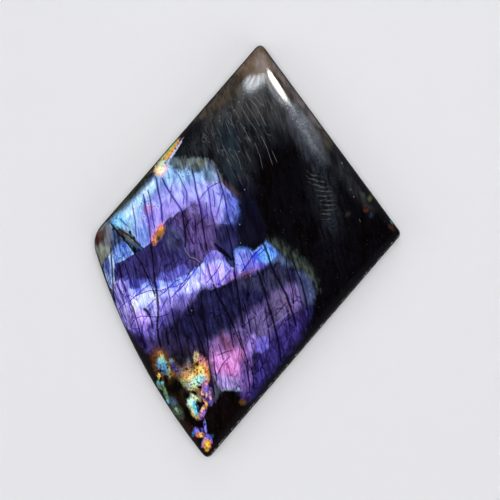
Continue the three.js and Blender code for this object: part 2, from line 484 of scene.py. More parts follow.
zone("moss_corner", 0.9, 0.5, 0.9, (96, 102, 88), (142, 152, 142),
     (94, 247), (103, 244), (109, 249), (107, 257), (101, 267), (96, 262))
zone("rust_corner", 0.8, 0.4, 0.9, (46, 10, 6), (84, 46, 34),
     (92, 240), (97, 231), (103, 230), (103, 240), (97, 247))

# %% [markdown]
# The bright band crosses the stone below that. It is the brightest thing in the photo: white at its core,
# lavender around it, and clear blue at its right end, where a grey-green rim turns the corner.

# %% Colour zones of the bright band
zone("bright_band", 0.25, 0.6, 1.0, (50, 44, 150), (182, 180, 255),
     (113.5, 287), (116, 281), (121, 279), (126, 281), (129, 288), (134, 289), (139, 288), (143, 284),
     (148, 281), (151, 283.5), (154, 288), (157, 282), (163, 280.5), (168, 283), (173, 282.5), (178, 279),
     (183, 275), (187, 276), (192, 271), (197, 266), (200, 267), (203, 262), (206, 257), (208, 253),
     (212, 251), (216, 250), (219, 252), (223, 256), (227, 259), (229.5, 266), (234, 268), (234.5, 262),
     (235, 256), (237.5, 251), (241, 249.5), (245, 250), (248, 253.5), (250, 250.5), (252, 252.5),
     (257, 249), (261.6, 245.6), (266.5, 242), (270.7, 245.6), (275, 249), (279, 255), (277, 258),
     (272, 261), (267, 264), (263, 268), (258, 270), (250, 271), (244, 272), (238, 276), (232, 280),
     (226, 284), (219, 287), (211, 290), (205, 289), (201, 291), (198, 294), (194, 299), (189, 304),
     (185, 309), (180, 314), (175, 319), (170, 323), (164, 328), (158, 334), (155, 342), (151, 348),
     (147, 352), (143, 343), (138, 336), (131, 330), (125, 328), (121, 320), (118, 311), (115, 302))
zone("violet_cheek", 1.2, 1.0, 0.9, (46, 40, 124), (196, 184, 255),
     (112, 286), (118, 280), (126, 282), (129, 292), (131, 306), (134, 322), (128, 331), (121, 323),
     (115, 308))
zone("violet_second", 1.6, 0.9, 0.85, (112, 100, 206), (202, 188, 255),
     (155, 302), (166, 298), (176, 295), (188, 291), (198, 288), (196, 297), (188, 305), (178, 311),
     (170, 317), (162, 321), (156, 322))
zone("violet_third", 2.0, 1.0, 0.9, (54, 47, 112), (114, 102, 188),
     (150, 330), (157, 316), (166, 310), (174, 304), (182, 299), (190, 295), (196, 293), (194, 300),
     (188, 308), (180, 316), (172, 324), (164, 331), (158, 338))
zone("violet_fall", 2.0, 1.2, 0.95, (48, 36, 102), (138, 120, 218),
     (128, 324), (136, 322), (146, 324), (152, 316), (157, 322), (156, 334), (152, 345), (147, 352),
     (141, 342), (134, 334))
zone("fall_foot", 2.2, 1.2, 0.9, (14, 6, 38), (50, 38, 100),
     (126, 330), (136, 333), (144, 338), (152, 336), (160, 332), (166, 336), (160, 346), (150, 354),
     (142, 354), (134, 342))
zone("band_fade", 2.6, 1.8, 0.75, (26, 22, 56), (82, 74, 140),
     (206, 288), (198, 292), (190, 300), (180, 309), (171, 317), (163, 324), (156, 332), (150, 340),
     (154, 346), (160, 338), (168, 331), (178, 322), (187, 313), (195, 303), (201, 295))
zone("pink_left", 1.0, 0.8, 0.9, (140, 106, 216), (212, 184, 252),
     (131, 306), (138, 308), (146, 313), (149, 321), (146, 329), (140, 325), (134, 317))
zone("white_core", 1.2, 0.9, 0.9, (154, 166, 255), (218, 228, 255),
     (128, 299), (133, 294), (139, 291), (145, 288), (152, 287), (156, 290), (162, 286), (168, 286),
     (174, 285), (180, 281), (186, 279), (192, 275), (198, 269), (203, 270), (206, 262), (212, 256),
     (218, 256), (224, 262), (228, 270), (228, 276), (220, 281), (210, 283), (202, 284), (197, 288),
     (192, 291), (184, 293), (176, 295), (166, 297), (158, 299), (153, 303), (148, 307), (141, 308),
     (136, 312), (132, 316), (129, 307))
zone("blue_teeth", 0.8, 0.9, 0.85, (106, 122, 252), (176, 208, 255),
     (129, 289), (134, 290), (139, 289), (144, 284), (149, 281), (154, 288), (157, 282), (164, 281),
     (168, 283), (178, 279), (184, 275), (188, 276), (193, 271), (198, 266), (201, 268), (204, 262),
     (207, 256), (210, 256), (206, 264), (202, 271), (196, 274), (190, 278), (182, 281), (175, 286),
     (166, 286), (158, 287), (155, 292), (148, 287), (140, 291), (132, 294))
zone("white_heart", 1.0, 0.8, 0.9, (204, 218, 255), (255, 255, 255),
     (129, 302), (134, 295), (141, 292.5), (149, 291.5), (154, 295), (151, 302), (145, 306), (138, 305),
     (134, 310), (131, 308))
zone("white_shelf", 1.0, 0.9, 0.85, (168, 174, 255), (228, 228, 255),
     (160, 294), (168, 290), (176, 289), (183, 284), (190, 280), (197, 277), (200, 283), (195, 290),
     (186, 293), (174, 294))
zone("pink_shelf", 0.9, 0.9, 0.85, (148, 124, 230), (212, 186, 252),
     (202, 272), (206, 265), (212, 263), (220, 264), (227, 270), (222, 277), (212, 281), (203, 284))
zone("pink_hem", 1.2, 0.9, 0.8, (100, 72, 164), (168, 126, 216),
     (206, 286), (214, 282), (224, 276), (234, 270), (240, 270), (236, 277), (228, 282), (218, 287))
zone("violet_tip", 0.8, 0.7, 0.8, (78, 66, 166), (122, 108, 216),
     (203, 262), (206, 256), (210, 251), (216, 250), (221, 254), (224, 259), (216, 261), (208, 264))
zone("lilac_step", 0.8, 0.8, 0.8, (64, 74, 188), (158, 172, 252),
     (235, 257), (237, 251), (246, 251), (252, 253), (250, 262), (244, 268), (236, 271))
zone("step_edge", 0.8, 0.9, 0.6, (62, 94, 214), (108, 158, 255),
     (233, 255), (236, 249), (241, 247), (247, 248), (251, 249.5), (252, 252.5), (247, 252.5), (241, 251.5),
     (237.5, 254), (235.5, 259))
zone("blue_end", 0.8, 0.5, 0.95, (70, 120, 222), (124, 196, 255),
     (252, 254), (258, 249), (266.5, 241.5), (275, 248.5), (279.5, 255.4), (272, 262), (266, 264),
     (258, 262), (253, 260))
zone("violet_under", 1.0, 0.6, 0.85, (64, 57, 154), (110, 104, 222),
     (246, 261), (258, 261.5), (268, 264), (263, 270), (250, 272), (244, 268))
zone("mauve_hem", 0.9, 0.9, 0.8, (70, 57, 112), (126, 102, 176),
     (234, 277), (244, 271), (254, 269), (263, 267), (260, 273), (248, 278), (238, 281))
zone("notch", 0.3, 0.5, 0.95, (0, 4, 12), (40, 56, 112),
     (225, 256.5), (230, 255.5), (234.5, 258), (234.7, 268), (229, 264.5), (226, 261))
zone("olive_rim", 2.2, 1.4, 0.9, (12, 16, 17), (80, 92, 84),
     (268, 240), (273, 240), (279, 243), (285, 248), (291, 252), (297, 257), (303, 262), (310, 269),
     (315, 279), (318, 289), (315, 292), (311, 284), (305, 276), (298, 269), (292, 264), (286, 259),
     (281, 253), (275, 247))
zone("slate_rim", 1.4, 0.8, 0.85, (66, 80, 118), (108, 134, 180),
     (279, 254), (285, 258), (290, 264), (286, 271), (277, 270), (269, 266), (274, 260))

# %% [markdown]
# Under the bright band the stone goes dark again, then lights up violet and pink towards the lower right.

# %% Colour zones of the lower flash
zone("lower_ground", 1.5, 1.5, 1.0, (12, 12, 34), (34, 34, 78),
     (199, 291), (206, 289), (213, 289.5), (220, 287.5), (228, 284), (236, 280), (244, 276), (254, 273),
     (262, 271), (268, 267), (277, 262), (286, 266), (298, 271), (306, 278), (312, 288), (314, 300),
     (312, 314), (306, 328), (298, 342), (288, 354), (274, 370), (258, 390), (246, 402), (236, 396),
     (228, 390), (215, 388), (210, 372), (208, 352), (200, 348), (186, 362), (172, 368), (156, 358),
     (157, 344), (164, 333), (172, 325), (180, 317), (188, 308), (194, 300))
zone("fall_slate", 2.6, 1.0, 0.85, (28, 22, 46), (58, 48, 88),
     (158, 338), (170, 334), (184, 340), (196, 340), (206, 346), (207, 355), (192, 360), (176, 358),
     (160, 354))
zone("slate_shelf", 1.6, 0.9, 0.9, (27, 28, 48), (58, 60, 94),
     (234, 282), (246, 277), (258, 274), (270, 268), (280, 266), (291, 274), (291, 284), (282, 290),
     (272, 293), (262, 291), (250, 288), (240, 288))
zone("violet_field", 2.0, 1.0, 1.0, (48, 39, 80), (102, 86, 144),
     (207, 342), (216, 335), (226, 331), (236, 323), (244, 315), (252, 309), (262, 305), (268, 298),
     (274, 292), (282, 290), (290, 285), (298, 284), (304, 290), (303, 302), (299, 314), (292, 322),
     (282, 330), (272, 338), (262, 348), (252, 354), (240, 350), (228, 346), (216, 348), (208, 352))
zone("grey_lilac", 0.9, 0.9, 0.85, (72, 64, 112), (110, 100, 152),
     (250, 322), (255, 314), (262, 308), (266, 306), (268, 318), (270, 330), (262, 336), (252, 334))
zone("grey_lilac_right", 0.9, 0.9, 0.85, (74, 65, 102), (112, 98, 142),
     (269, 300), (274, 294), (281, 291), (285, 294), (288, 305), (284, 317), (276, 322), (271, 312))
zone("violet_right", 1.4, 0.8, 0.9, (70, 56, 104), (134, 114, 182),
     (288, 287), (296, 284), (302, 290), (302, 302), (298, 312), (292, 314), (288, 302))
zone("blue_right_low", 1.4, 0.8, 0.95, (46, 52, 88), (86, 96, 140),
     (297, 272), (304, 272), (311, 281), (315, 292), (313, 302), (307, 304), (303, 296), (299, 284))
zone("indigo", 2.6, 0.6, 0.95, (34, 22, 74), (67, 57, 142),
     (266, 344), (272, 334), (281, 325), (290, 317), (300, 311), (308, 314), (304, 328), (298, 338),
     (290, 350), (280, 362), (268, 378), (256, 394), (246, 404), (240, 398), (248, 384), (254, 366),
     (260, 352))
zone("blue_spot", 0.6, 0.5, 0.9, (88, 76, 176), (130, 118, 228),
     (254, 339), (262, 337), (269, 337), (269, 348), (262, 353), (255, 352))
zone("lilac_spots", 0.6, 0.5, 0.85, (108, 84, 160), (168, 140, 228),
     (249, 337), (255, 333.5), (258, 340), (255, 347), (250, 359), (245, 361), (244, 348))
zone("pink_top", 1.8, 1.0, 0.85, (96, 60, 104), (150, 106, 172),
     (208, 353), (211, 345), (218, 340), (226, 336), (234, 336), (242, 340), (246, 348), (236, 356),
     (222, 358), (210, 362))
zone("pink", 2.0, 1.0, 0.95, (158, 96, 162), (228, 156, 236),
     (210, 360), (216, 353), (226, 351), (238, 349), (246, 351), (244, 362), (239, 376), (228, 379),
     (216, 375), (211, 370))
zone("lilac_hem", 1.4, 0.9, 0.9, (130, 106, 168), (198, 174, 250),
     (214, 374), (222, 375), (232, 376), (239, 380), (240, 389), (230, 390), (222, 389), (217, 386))
zone("violet_side", 1.6, 0.9, 0.85, (78, 54, 118), (150, 114, 202),
     (240, 362), (246, 356), (252, 362), (253, 380), (246, 396), (240, 390), (238, 378))
zone("pale_fringe", 0.5, 0.9, 0.8, (44, 52, 88), (178, 204, 236),
     (215, 386), (222, 388), (231, 389), (238, 387), (241, 391), (232, 390.5), (224, 390.5), (217, 396))
zone("edge_shade", 2.6, 0.5, 0.75, (0, 0, 1), (5, 2, 16),
     (332, 300), (319.5, 308), (312.5, 322), (305.5, 334), (297.5, 346), (287.5, 358), (277.5, 370),
     (265.5, 384), (255, 396), (246, 402), (250, 410), (262, 398), (282, 380), (302, 356), (322, 332),
     (340, 310))

# %% [markdown]
# The bottom corner is earthy rock between the flakes, with a black wedge in it that shows no flash at
# all.

# %% Colour zones of the bottom
zone("black_lobe", 0.5, 0.6, 1.0, (0, 0, 0), (12, 5, 9),
     (212, 398), (218, 393), (226, 391), (234, 391.5), (240, 397), (244, 405), (256, 402), (264, 392),
     (278, 372), (292, 366), (262, 412), (236, 442), (216, 458), (208, 460), (210, 440), (211, 425),
     (212, 410))
zone("black_wedge", 0.6, 0.9, 0.9, (0, 0, 2), (68, 68, 88),
     (210.5, 377), (213, 377), (217, 385), (222, 392), (216, 402), (211, 402), (210, 390))
zone("matrix", 1.4, 1.2, 1.0, (3, 1, 2), (18, 11, 10),
     (120, 330), (132, 336), (146, 353), (160, 360), (175, 357), (190, 361), (200, 352), (208, 352),
     (211, 372), (213, 400), (212, 430), (209, 460), (196, 452), (180, 430), (162, 404), (144, 374),
     (130, 350))
zone("slate_matrix", 1.6, 1.4, 0.9, (14, 14, 26), (42, 38, 52),
     (166, 352), (180, 350), (196, 352), (206, 354), (202, 366), (190, 372), (176, 368), (166, 362))
zone("olive_matrix", 1.6, 1.4, 0.85, (11, 6, 3), (34, 27, 16),
     (160, 372), (170, 369), (180, 368), (186, 378), (190, 390), (190, 404), (182, 410), (176, 404),
     (170, 396), (164, 384))
zone("amber_glow", 1.8, 1.4, 0.9, (66, 50, 38), (142, 116, 80),
     (178, 376), (183, 368), (191, 366), (198, 361), (206, 366), (208, 380), (203, 390), (193, 392),
     (185, 389))
zone("rust_side", 1.0, 0.8, 0.9, (20, 5, 4), (44, 20, 16),
     (170, 408), (178, 417), (190, 424), (196, 434), (200, 448), (190, 440), (178, 426))
zone("grey_matrix", 1.2, 1.2, 0.8, (16, 12, 12), (62, 50, 36),
     (175, 369), (184, 364), (191, 371), (188, 385), (180, 384))
zone("black_pools", 1.0, 1.0, 0.95, (3, 2, 3), (26, 18, 14),
     (168, 388), (173, 382), (181, 382), (184, 390), (190, 396), (188, 402), (180, 398), (172, 394))

print("colour zones", len(ZONES))

# %% [markdown]
# Near the bottom corner and on the left edge, small flakes flash in every colour. Each one is built up
# from a few ellipses: a warm rim first, then yellow, green or cyan over it. A fleck has its middle, its
# length and width in photo pixels, the way it leans clockwise from upright, its softness, and a dark and
# a light tone.

# %% Flecks
FLECKS = []


def fleck(x, y, length, width, lean, soft, dark, light):
    """Lay one more fleck over those before it."""
    FLECKS.append(((x, y), (length, width), lean, soft, dark, light))


fleck(174.5, 151.5, 26, 2.6, 32, 0.5, (110, 114, 176), (200, 210, 250))
fleck(171.3, 150.8, 28, 4.2, 33, 0.5, (220, 90, 30), (250, 172, 76))
fleck(168.3, 150.6, 27, 3.8, 39, 0.5, (120, 170, 76), (206, 214, 108))
fleck(166.8, 149.4, 32, 2.6, 42, 0.5, (14, 70, 68), (62, 152, 132))
fleck(160.7, 168.6, 15, 12.5, 15, 0.5, (236, 126, 150), (255, 186, 222))
fleck(159.4, 168.8, 12, 9.5, 20, 0.5, (224, 146, 50), (252, 212, 122))
fleck(161.3, 169.5, 9, 7.2, 10, 0.6, (255, 236, 166), (255, 253, 226))
fleck(162.4, 163.4, 7.5, 5.5, 20, 0.6, (150, 196, 160), (214, 240, 206))
fleck(157.5, 164.6, 6, 2.8, 43, 0.5, (68, 126, 88), (190, 210, 170))

fleck(157.6, 233.5, 19, 8, 30, 0.9, (190, 70, 70), (240, 122, 108))
fleck(159.6, 233.4, 15, 6, 30, 0.9, (70, 52, 20), (146, 112, 52))
fleck(155.4, 241, 8, 3.2, 12, 0.9, (160, 90, 30), (226, 148, 66))
fleck(158.4, 238.6, 5, 3.4, 25, 0.9, (20, 20, 10), (56, 52, 24))
fleck(160.6, 228.4, 5, 4.4, 60, 0.9, (210, 100, 50), (246, 150, 80))

fleck(121, 231.4, 2.6, 2, -40, 0.8, (90, 60, 20), (150, 108, 56))
fleck(124.4, 234, 3.4, 1.8, -45, 0.8, (120, 74, 30), (176, 124, 70))
fleck(128, 236.2, 3.2, 1.8, -45, 0.8, (60, 60, 40), (120, 118, 84))
fleck(132.4, 240.4, 3, 1.8, -40, 0.8, (80, 66, 50), (140, 116, 90))
fleck(117, 227.6, 2.4, 2, 0, 0.8, (40, 84, 120), (90, 150, 190))
fleck(126.4, 231.4, 2.8, 1.8, -45, 0.8, (60, 96, 140), (120, 160, 210))
fleck(129.8, 232, 3, 2.6, 0, 0.8, (2, 2, 2), (12, 14, 16))
fleck(134, 237.6, 3, 2.2, -30, 0.8, (2, 2, 2), (14, 14, 14))
fleck(123.6, 237.4, 6, 1.8, -38, 0.8, (2, 2, 2), (16, 16, 18))
fleck(119.6, 229.4, 3, 1.6, -40, 0.8, (2, 2, 2), (16, 14, 12))
fleck(113.6, 229, 3, 2.4, 0, 0.9, (4, 6, 8), (24, 30, 34))
print("flecks", len(FLECKS))

# %% [markdown]
# The flakes of the bottom corner are the most colourful part of the stone. They are laid one over
# another: broad dull ones for the rock between them, then the bright ones, then small dark ones for the
# holes.

# %% Flecks of the bottom corner
fleck(161.5, 364, 28, 15, -16, 1.2, (62, 36, 18), (124, 80, 46))
fleck(173, 368, 17, 8, -12, 1.0, (56, 36, 26), (112, 76, 46))
fleck(160.3, 354.6, 6, 5.5, 0, 0.8, (120, 70, 30), (190, 130, 60))
fleck(161.2, 357.8, 7, 5.4, -5, 0.8, (130, 140, 78), (206, 206, 130))
fleck(167.8, 369, 15, 4.4, -12, 0.8, (96, 116, 76), (158, 168, 112))
fleck(162, 366, 14, 9, -20, 0.8, (44, 96, 150), (84, 156, 206))
fleck(161.4, 361, 5.5, 6.4, 0, 0.8, (90, 170, 176), (136, 220, 214))
fleck(161.8, 365.8, 4, 3, -10, 0.8, (90, 120, 136), (124, 150, 158))
fleck(165.3, 371, 9, 2.6, -25, 0.8, (40, 90, 150), (70, 130, 180))
fleck(171.6, 361.6, 6, 4, -20, 0.8, (70, 110, 110), (120, 160, 156))
fleck(173.3, 367, 10, 4, -15, 0.8, (40, 34, 96), (66, 58, 140))
fleck(173, 374.6, 3, 7, 0, 0.8, (88, 54, 24), (140, 92, 44))
fleck(159, 376.5, 6.4, 3.2, 0, 0.8, (190, 140, 40), (252, 222, 110))
fleck(158.5, 383.4, 7, 3.6, 0, 0.8, (54, 104, 108), (110, 184, 184))
fleck(162.4, 383.6, 5, 3, 0, 0.8, (56, 118, 122), (120, 196, 196))
fleck(160.6, 387.5, 4, 7, 0, 1.0, (70, 80, 50), (120, 130, 84))
fleck(165.6, 393.5, 15, 3.6, -16, 0.9, (56, 88, 70), (116, 160, 120))
fleck(173, 402.5, 11, 7, -35, 1.0, (38, 50, 72), (76, 96, 124))
fleck(168, 401.2, 4.6, 2.6, -20, 0.8, (70, 150, 176), (130, 214, 226))
fleck(177, 411.5, 14, 9, -35, 1.2, (44, 58, 48), (86, 106, 84))
fleck(177, 410, 4.6, 2.4, -38, 0.8, (110, 136, 116), (170, 196, 170))
fleck(196.2, 357.2, 10, 5, 0, 1.0, (112, 100, 70), (222, 200, 150))
fleck(188, 366, 13, 5, 5, 1.2, (52, 48, 56), (108, 104, 116))
fleck(179.5, 371, 8, 7, 0, 1.0, (56, 50, 70), (96, 88, 122))
fleck(189, 376, 15, 13, 0, 1.4, (96, 64, 38), (206, 158, 102))
fleck(191, 377.5, 10, 5, 40, 1.0, (236, 186, 110), (255, 234, 160))
fleck(185.2, 377.5, 8, 4, 0, 1.0, (170, 110, 56), (230, 170, 100))
fleck(183.6, 382.6, 8, 6, -20, 1.0, (104, 112, 66), (170, 180, 120))
fleck(188.8, 386, 7, 4.4, 0, 1.0, (90, 108, 120), (172, 188, 196))
fleck(203, 363, 13, 8, -25, 1.0, (180, 84, 120), (232, 140, 176))
fleck(201.5, 372, 19, 12, -12, 1.0, (226, 130, 40), (255, 196, 84))
fleck(201, 370.5, 9, 5, -20, 1.0, (250, 190, 70), (255, 236, 140))
fleck(206.8, 376, 15, 3.4, -8, 0.8, (220, 96, 60), (250, 150, 90))
fleck(195.5, 388.3, 11, 4, 75, 0.8, (170, 150, 60), (232, 214, 120))
fleck(198.3, 380.8, 16, 8.5, 60, 0.8, (110, 226, 226), (196, 255, 240))
fleck(193.6, 385, 6, 5, 0, 0.8, (170, 230, 180), (226, 255, 206))
fleck(201, 377.5, 8, 2.4, 25, 0.7, (100, 214, 240), (150, 236, 250))
fleck(197.6, 382.4, 2.2, 1.6, 0, 0.6, (70, 120, 80), (110, 150, 100))
fleck(198, 394, 12, 9, -25, 1.4, (50, 34, 28), (132, 100, 74))
fleck(206, 390, 18, 9, -10, 1.0, (46, 30, 78), (134, 98, 190))
fleck(206.6, 388, 9, 4, 0, 0.8, (84, 84, 196), (130, 126, 232))
fleck(210, 399, 12, 4.4, -8, 0.9, (54, 40, 96), (118, 92, 188))
fleck(205.8, 384, 4, 3, 0, 0.8, (200, 90, 120), (240, 140, 160))
fleck(202.4, 388, 5.5, 2, -5, 0.8, (180, 86, 120), (230, 130, 150))
fleck(210, 385, 4.6, 3, 0, 0.9, (8, 4, 22), (24, 14, 48))
fleck(204.2, 397.4, 2.6, 3.2, 0, 1.0, (30, 20, 60), (70, 50, 120))
fleck(207.8, 399.6, 3, 3, 0, 1.0, (26, 16, 56), (60, 40, 104))
fleck(208, 390.6, 5, 1.8, -5, 1.0, (40, 26, 80), (84, 60, 140))
fleck(202.2, 393.6, 4.6, 2.4, -18, 0.9, (220, 130, 100), (250, 190, 150))
fleck(206.4, 395, 4.6, 1.9, 0, 0.8, (240, 150, 110), (255, 200, 160))
fleck(209.5, 392.6, 4, 1.8, 0, 0.9, (170, 110, 100), (216, 160, 130))
fleck(210.4, 397.9, 3.6, 2.1, -12, 0.8, (236, 140, 120), (255, 186, 170))
fleck(204.2, 400.5, 4, 2, -30, 0.9, (190, 110, 110), (236, 160, 140))
fleck(193.6, 411, 16, 7, -30, 0.8, (190, 130, 50), (250, 200, 110))
fleck(199, 399.6, 4, 5, 60, 0.9, (80, 80, 52), (140, 140, 96))
fleck(192.5, 403, 15, 9, -8, 0.8, (140, 226, 216), (206, 255, 236))
fleck(194.5, 397.6, 6, 8, 0, 0.8, (180, 200, 150), (226, 240, 200))
fleck(195.6, 409.5, 14, 4.6, -8, 0.7, (70, 190, 232), (130, 234, 248))
fleck(193.7, 404.4, 6, 2.2, 0, 0.6, (56, 166, 240), (90, 196, 246))
fleck(198, 410, 8, 2, 0, 0.8, (16, 40, 70), (40, 78, 116))
fleck(203, 412, 13, 5, 20, 0.9, (96, 60, 150), (170, 116, 206))
fleck(206.4, 404, 5, 2.4, -15, 0.8, (230, 140, 80), (255, 196, 130))
fleck(205.6, 407, 3.6, 3, 0, 0.9, (130, 70, 10), (206, 130, 30))
fleck(203.3, 408.3, 5, 2.5, 25, 0.8, (250, 150, 60), (255, 206, 120))
fleck(201.5, 411.6, 6, 2, 16, 0.8, (240, 140, 110), (255, 190, 160))
fleck(203.5, 412.8, 5.4, 2.2, 20, 0.8, (80, 76, 190), (140, 130, 230))
fleck(200.7, 415, 4, 2.4, 20, 0.9, (150, 70, 150), (206, 120, 200))
fleck(205.2, 427, 12, 2.6, -6, 0.8, (84, 86, 204), (140, 140, 248))
fleck(196.6, 430.6, 6, 5, -30, 0.9, (70, 74, 190), (130, 130, 244))
fleck(193.6, 433.8, 6, 3.4, 20, 0.9, (32, 70, 130), (66, 116, 196))
fleck(200.2, 434.9, 5.4, 8.2, 0, 0.8, (226, 84, 110), (250, 150, 100))
fleck(200.8, 434.9, 3.6, 3, 0, 0.8, (250, 206, 90), (255, 246, 160))
fleck(201.4, 430.4, 4, 3.4, 0, 0.9, (40, 36, 110), (88, 84, 190))
fleck(200.6, 430.6, 3, 2.4, 0, 0.8, (14, 12, 30), (30, 26, 50))
fleck(207.4, 436.6, 5, 5, 0, 0.8, (48, 52, 210), (100, 106, 250))
fleck(204.2, 441.5, 11, 3.6, 20, 0.8, (110, 98, 200), (176, 164, 244))
fleck(211, 440, 8, 2.8, -5, 0.8, (56, 54, 160), (96, 90, 206))
fleck(207, 444.2, 10.5, 7.8, 8, 0.8, (236, 84, 70), (255, 146, 84))
fleck(207.4, 444.2, 8.6, 4.8, 8, 0.7, (250, 176, 20), (255, 230, 90))
fleck(207, 449.6, 4, 3.8, 0, 0.8, (150, 104, 36), (216, 166, 66))
fleck(212.2, 436, 3.4, 2.6, 0, 1.0, (16, 40, 66), (30, 72, 112))
fleck(177, 386.5, 12, 9, 60, 0.8, (2, 2, 2), (7, 6, 6))
fleck(170, 389.5, 4, 5.5, 0, 0.8, (2, 2, 2), (8, 6, 6))
fleck(160.8, 371, 2.4, 8, 0, 0.8, (3, 2, 2), (10, 8, 6))
fleck(160.5, 378.6, 3.6, 2.4, 0, 0.8, (3, 2, 2), (10, 8, 6))
fleck(166, 380, 10, 3.4, -15, 0.8, (3, 2, 2), (12, 9, 7))
fleck(186.5, 395.8, 5.5, 7.5, 0, 0.8, (3, 2, 2), (9, 7, 6))
fleck(187.5, 412.5, 11, 7, 0, 0.9, (2, 2, 2), (7, 6, 6))
fleck(191, 419, 8, 4.5, -20, 0.9, (2, 2, 2), (9, 6, 6))
fleck(198, 403.6, 4.4, 4.6, 0, 0.7, (2, 2, 2), (10, 8, 6))
fleck(199.8, 387.7, 3.8, 4.2, 0, 0.7, (2, 2, 2), (10, 8, 6))
fleck(194.6, 393.4, 3, 7, 40, 0.7, (3, 2, 2), (10, 8, 6))
fleck(197, 364.2, 5, 3.8, 0, 0.8, (3, 2, 3), (9, 7, 9))
fleck(243, 402, 6, 6, 0, 1.2, (50, 32, 22), (96, 64, 34))

# %% [markdown]
# The right corner holds a few dim flakes that hardly show.

# %% Flecks of the right corner
fleck(370, 198, 6, 4, 20, 1.4, (24, 26, 16), (84, 84, 56))
fleck(366, 209, 6, 5, 0, 1.4, (22, 14, 10), (74, 44, 30))
fleck(348, 214, 5, 4, 30, 1.4, (18, 14, 12), (46, 36, 30))
fleck(363, 195, 8, 4, -40, 1.0, (18, 22, 18), (56, 62, 52))
fleck(371, 215, 5, 4, 0, 1.4, (14, 18, 26), (38, 44, 58))
fleck(391.5, 222, 5, 1.6, -35, 0.6, (24, 80, 70), (80, 160, 130))
fleck(391.5, 227.5, 7, 4, -40, 1.2, (26, 14, 10), (66, 36, 28))
print("flecks with the corners", len(FLECKS))

# %% [markdown]
# Cracks are lines, not areas. Each is a width in millimetres and a short path in photo pixels, and it
# thins to nothing at both ends. Lines are kept in families, and a family stores the distance to its
# nearest line alone. That goes wrong where two of its lines cross, so lines that run different ways
# belong to different families.

# %% Cracks
LINES = {}


def line_family(name):
    """Start a family of lines and give back the function that adds a width and a path to it."""
    LINES[name] = []

    def add(width, *path):
        LINES[name].append((width, path))

    return add


crack = line_family("crack")
crack(0.34, (219.5, 144), (229.3, 159.5), (235.6, 173.5), (243.3, 192), (247.5, 202), (253, 214),
      (257.3, 225), (260, 235), (264, 245))
crack(0.5, (263, 242), (268, 255), (271, 265), (276, 276), (281, 285), (286, 294), (289, 303), (293, 315),
      (297, 328))
crack(0.3, (150.3, 238), (151.5, 250), (153, 262), (154, 276))
crack(0.55, (153.5, 270), (155, 282), (156.5, 292), (158, 304), (157.8, 314), (157, 326), (158.4, 338),
      (161, 348))
crack(0.3, (124, 239), (132.7, 251), (141.6, 263.4), (147, 276), (151.3, 286), (155, 297))
crack(0.36, (110.5, 245), (111.5, 262), (112.5, 275), (113, 285), (113.5, 294), (116, 303))
crack(0.34, (225.8, 224), (228.6, 235), (232, 249), (234.2, 263), (234.5, 274))
crack(0.48, (234, 268), (235.5, 280), (237.5, 291), (239.5, 305), (241, 314), (243, 326))
crack(0.55, (212.5, 282), (216, 292), (220, 300), (225, 308), (229.5, 318), (235, 330))
crack(0.46, (256.5, 269), (261, 280), (265, 293), (268.6, 305), (272.8, 319), (277, 335), (279.5, 350),
      (281.5, 364))
crack(0.3, (291.9, 259), (297.5, 272), (302, 284), (305, 296), (307.5, 308), (309, 320))
crack(0.3, (286, 254), (287, 268), (290, 280), (293, 292), (294, 306))
crack(0.26, (241.9, 297), (246, 310), (249, 322), (251, 334))
crack(0.36, (200.5, 292), (202, 305), (205, 322), (207.6, 340), (208, 350))
crack(0.22, (207.6, 340), (208.3, 360), (210.3, 373), (213, 384), (215, 398))
crack(0.85, (200.5, 304), (203.5, 318), (206, 334))
crack(0.46, (187, 303), (190, 315), (194.2, 326), (199, 337), (203, 348), (205, 358))
crack(0.75, (213.5, 243), (220, 249), (227.5, 255.5), (232.5, 261))
crack(0.4, (110, 222), (118, 233), (125.6, 240.3))
crack(0.26, (117, 229.5), (125.6, 233), (133, 239), (140, 246), (143.5, 249.5))
crack(0.4, (166, 326), (167, 336), (168.5, 346))
crack(0.36, (171, 306), (173.5, 319), (177.5, 333), (180.5, 346), (183.5, 360))
crack(0.3, (132, 304), (136, 318), (141, 336), (146.5, 350))
crack(0.7, (143, 308.5), (147, 311), (150, 317))
crack(0.3, (149, 314), (151.5, 322), (152.5, 330))
crack(0.4, (118.5, 262), (120, 270), (122.5, 279))
crack(0.26, (124, 262), (127, 271), (130, 279))
crack(0.16, (184.6, 248), (186.4, 254), (190, 258.4), (196, 260.4), (200, 264))
print("cracks", len(LINES["crack"]))

# %% [markdown]
# Veins are fainter cracks that run the same way. They are still closed, so light gets round them and they
# look violet and not black.

# %% Veins
vein = line_family("vein")
vein(0.38, (155.5, 175), (158, 190), (161, 204), (162.3, 224))
vein(0.32, (161, 176), (167, 188), (174, 199), (182, 211), (184.7, 228), (185.5, 242), (184, 250))
vein(0.24, (147.5, 188), (150.3, 200), (152.4, 218), (155, 230))
vein(0.34, (143, 192), (145.4, 207), (148.6, 221), (150.3, 240))
vein(0.2, (132, 203), (135, 221), (136.5, 240))
vein(0.18, (118, 217), (129.3, 228))
vein(0.34, (191.4, 167), (194.2, 179), (196.3, 191.7), (199, 201.6), (201.2, 214), (202.6, 225), (205, 240),
     (207, 252))
vein(0.18, (177.7, 173), (181.2, 180.5), (186.8, 192), (186.8, 204))
vein(0.14, (172, 182), (170.7, 196), (170, 204))
vein(0.2, (207, 184), (209.6, 197), (211, 211), (214.6, 225), (218, 241))
vein(0.26, (217, 171), (220.2, 183), (223.7, 193), (225.8, 204), (227.2, 214), (231, 226), (234, 232))
vein(0.16, (222.3, 193), (219.5, 206), (216, 218.4))
vein(0.26, (120, 276), (124, 286), (127.5, 298), (130.5, 310), (134, 320))
vein(0.14, (132, 259), (137.7, 277))
vein(0.22, (165.8, 276), (168.5, 292), (171, 306))
vein(0.34, (206.8, 262), (209.6, 274), (213.9, 284))
vein(0.16, (200, 265), (200.5, 283))
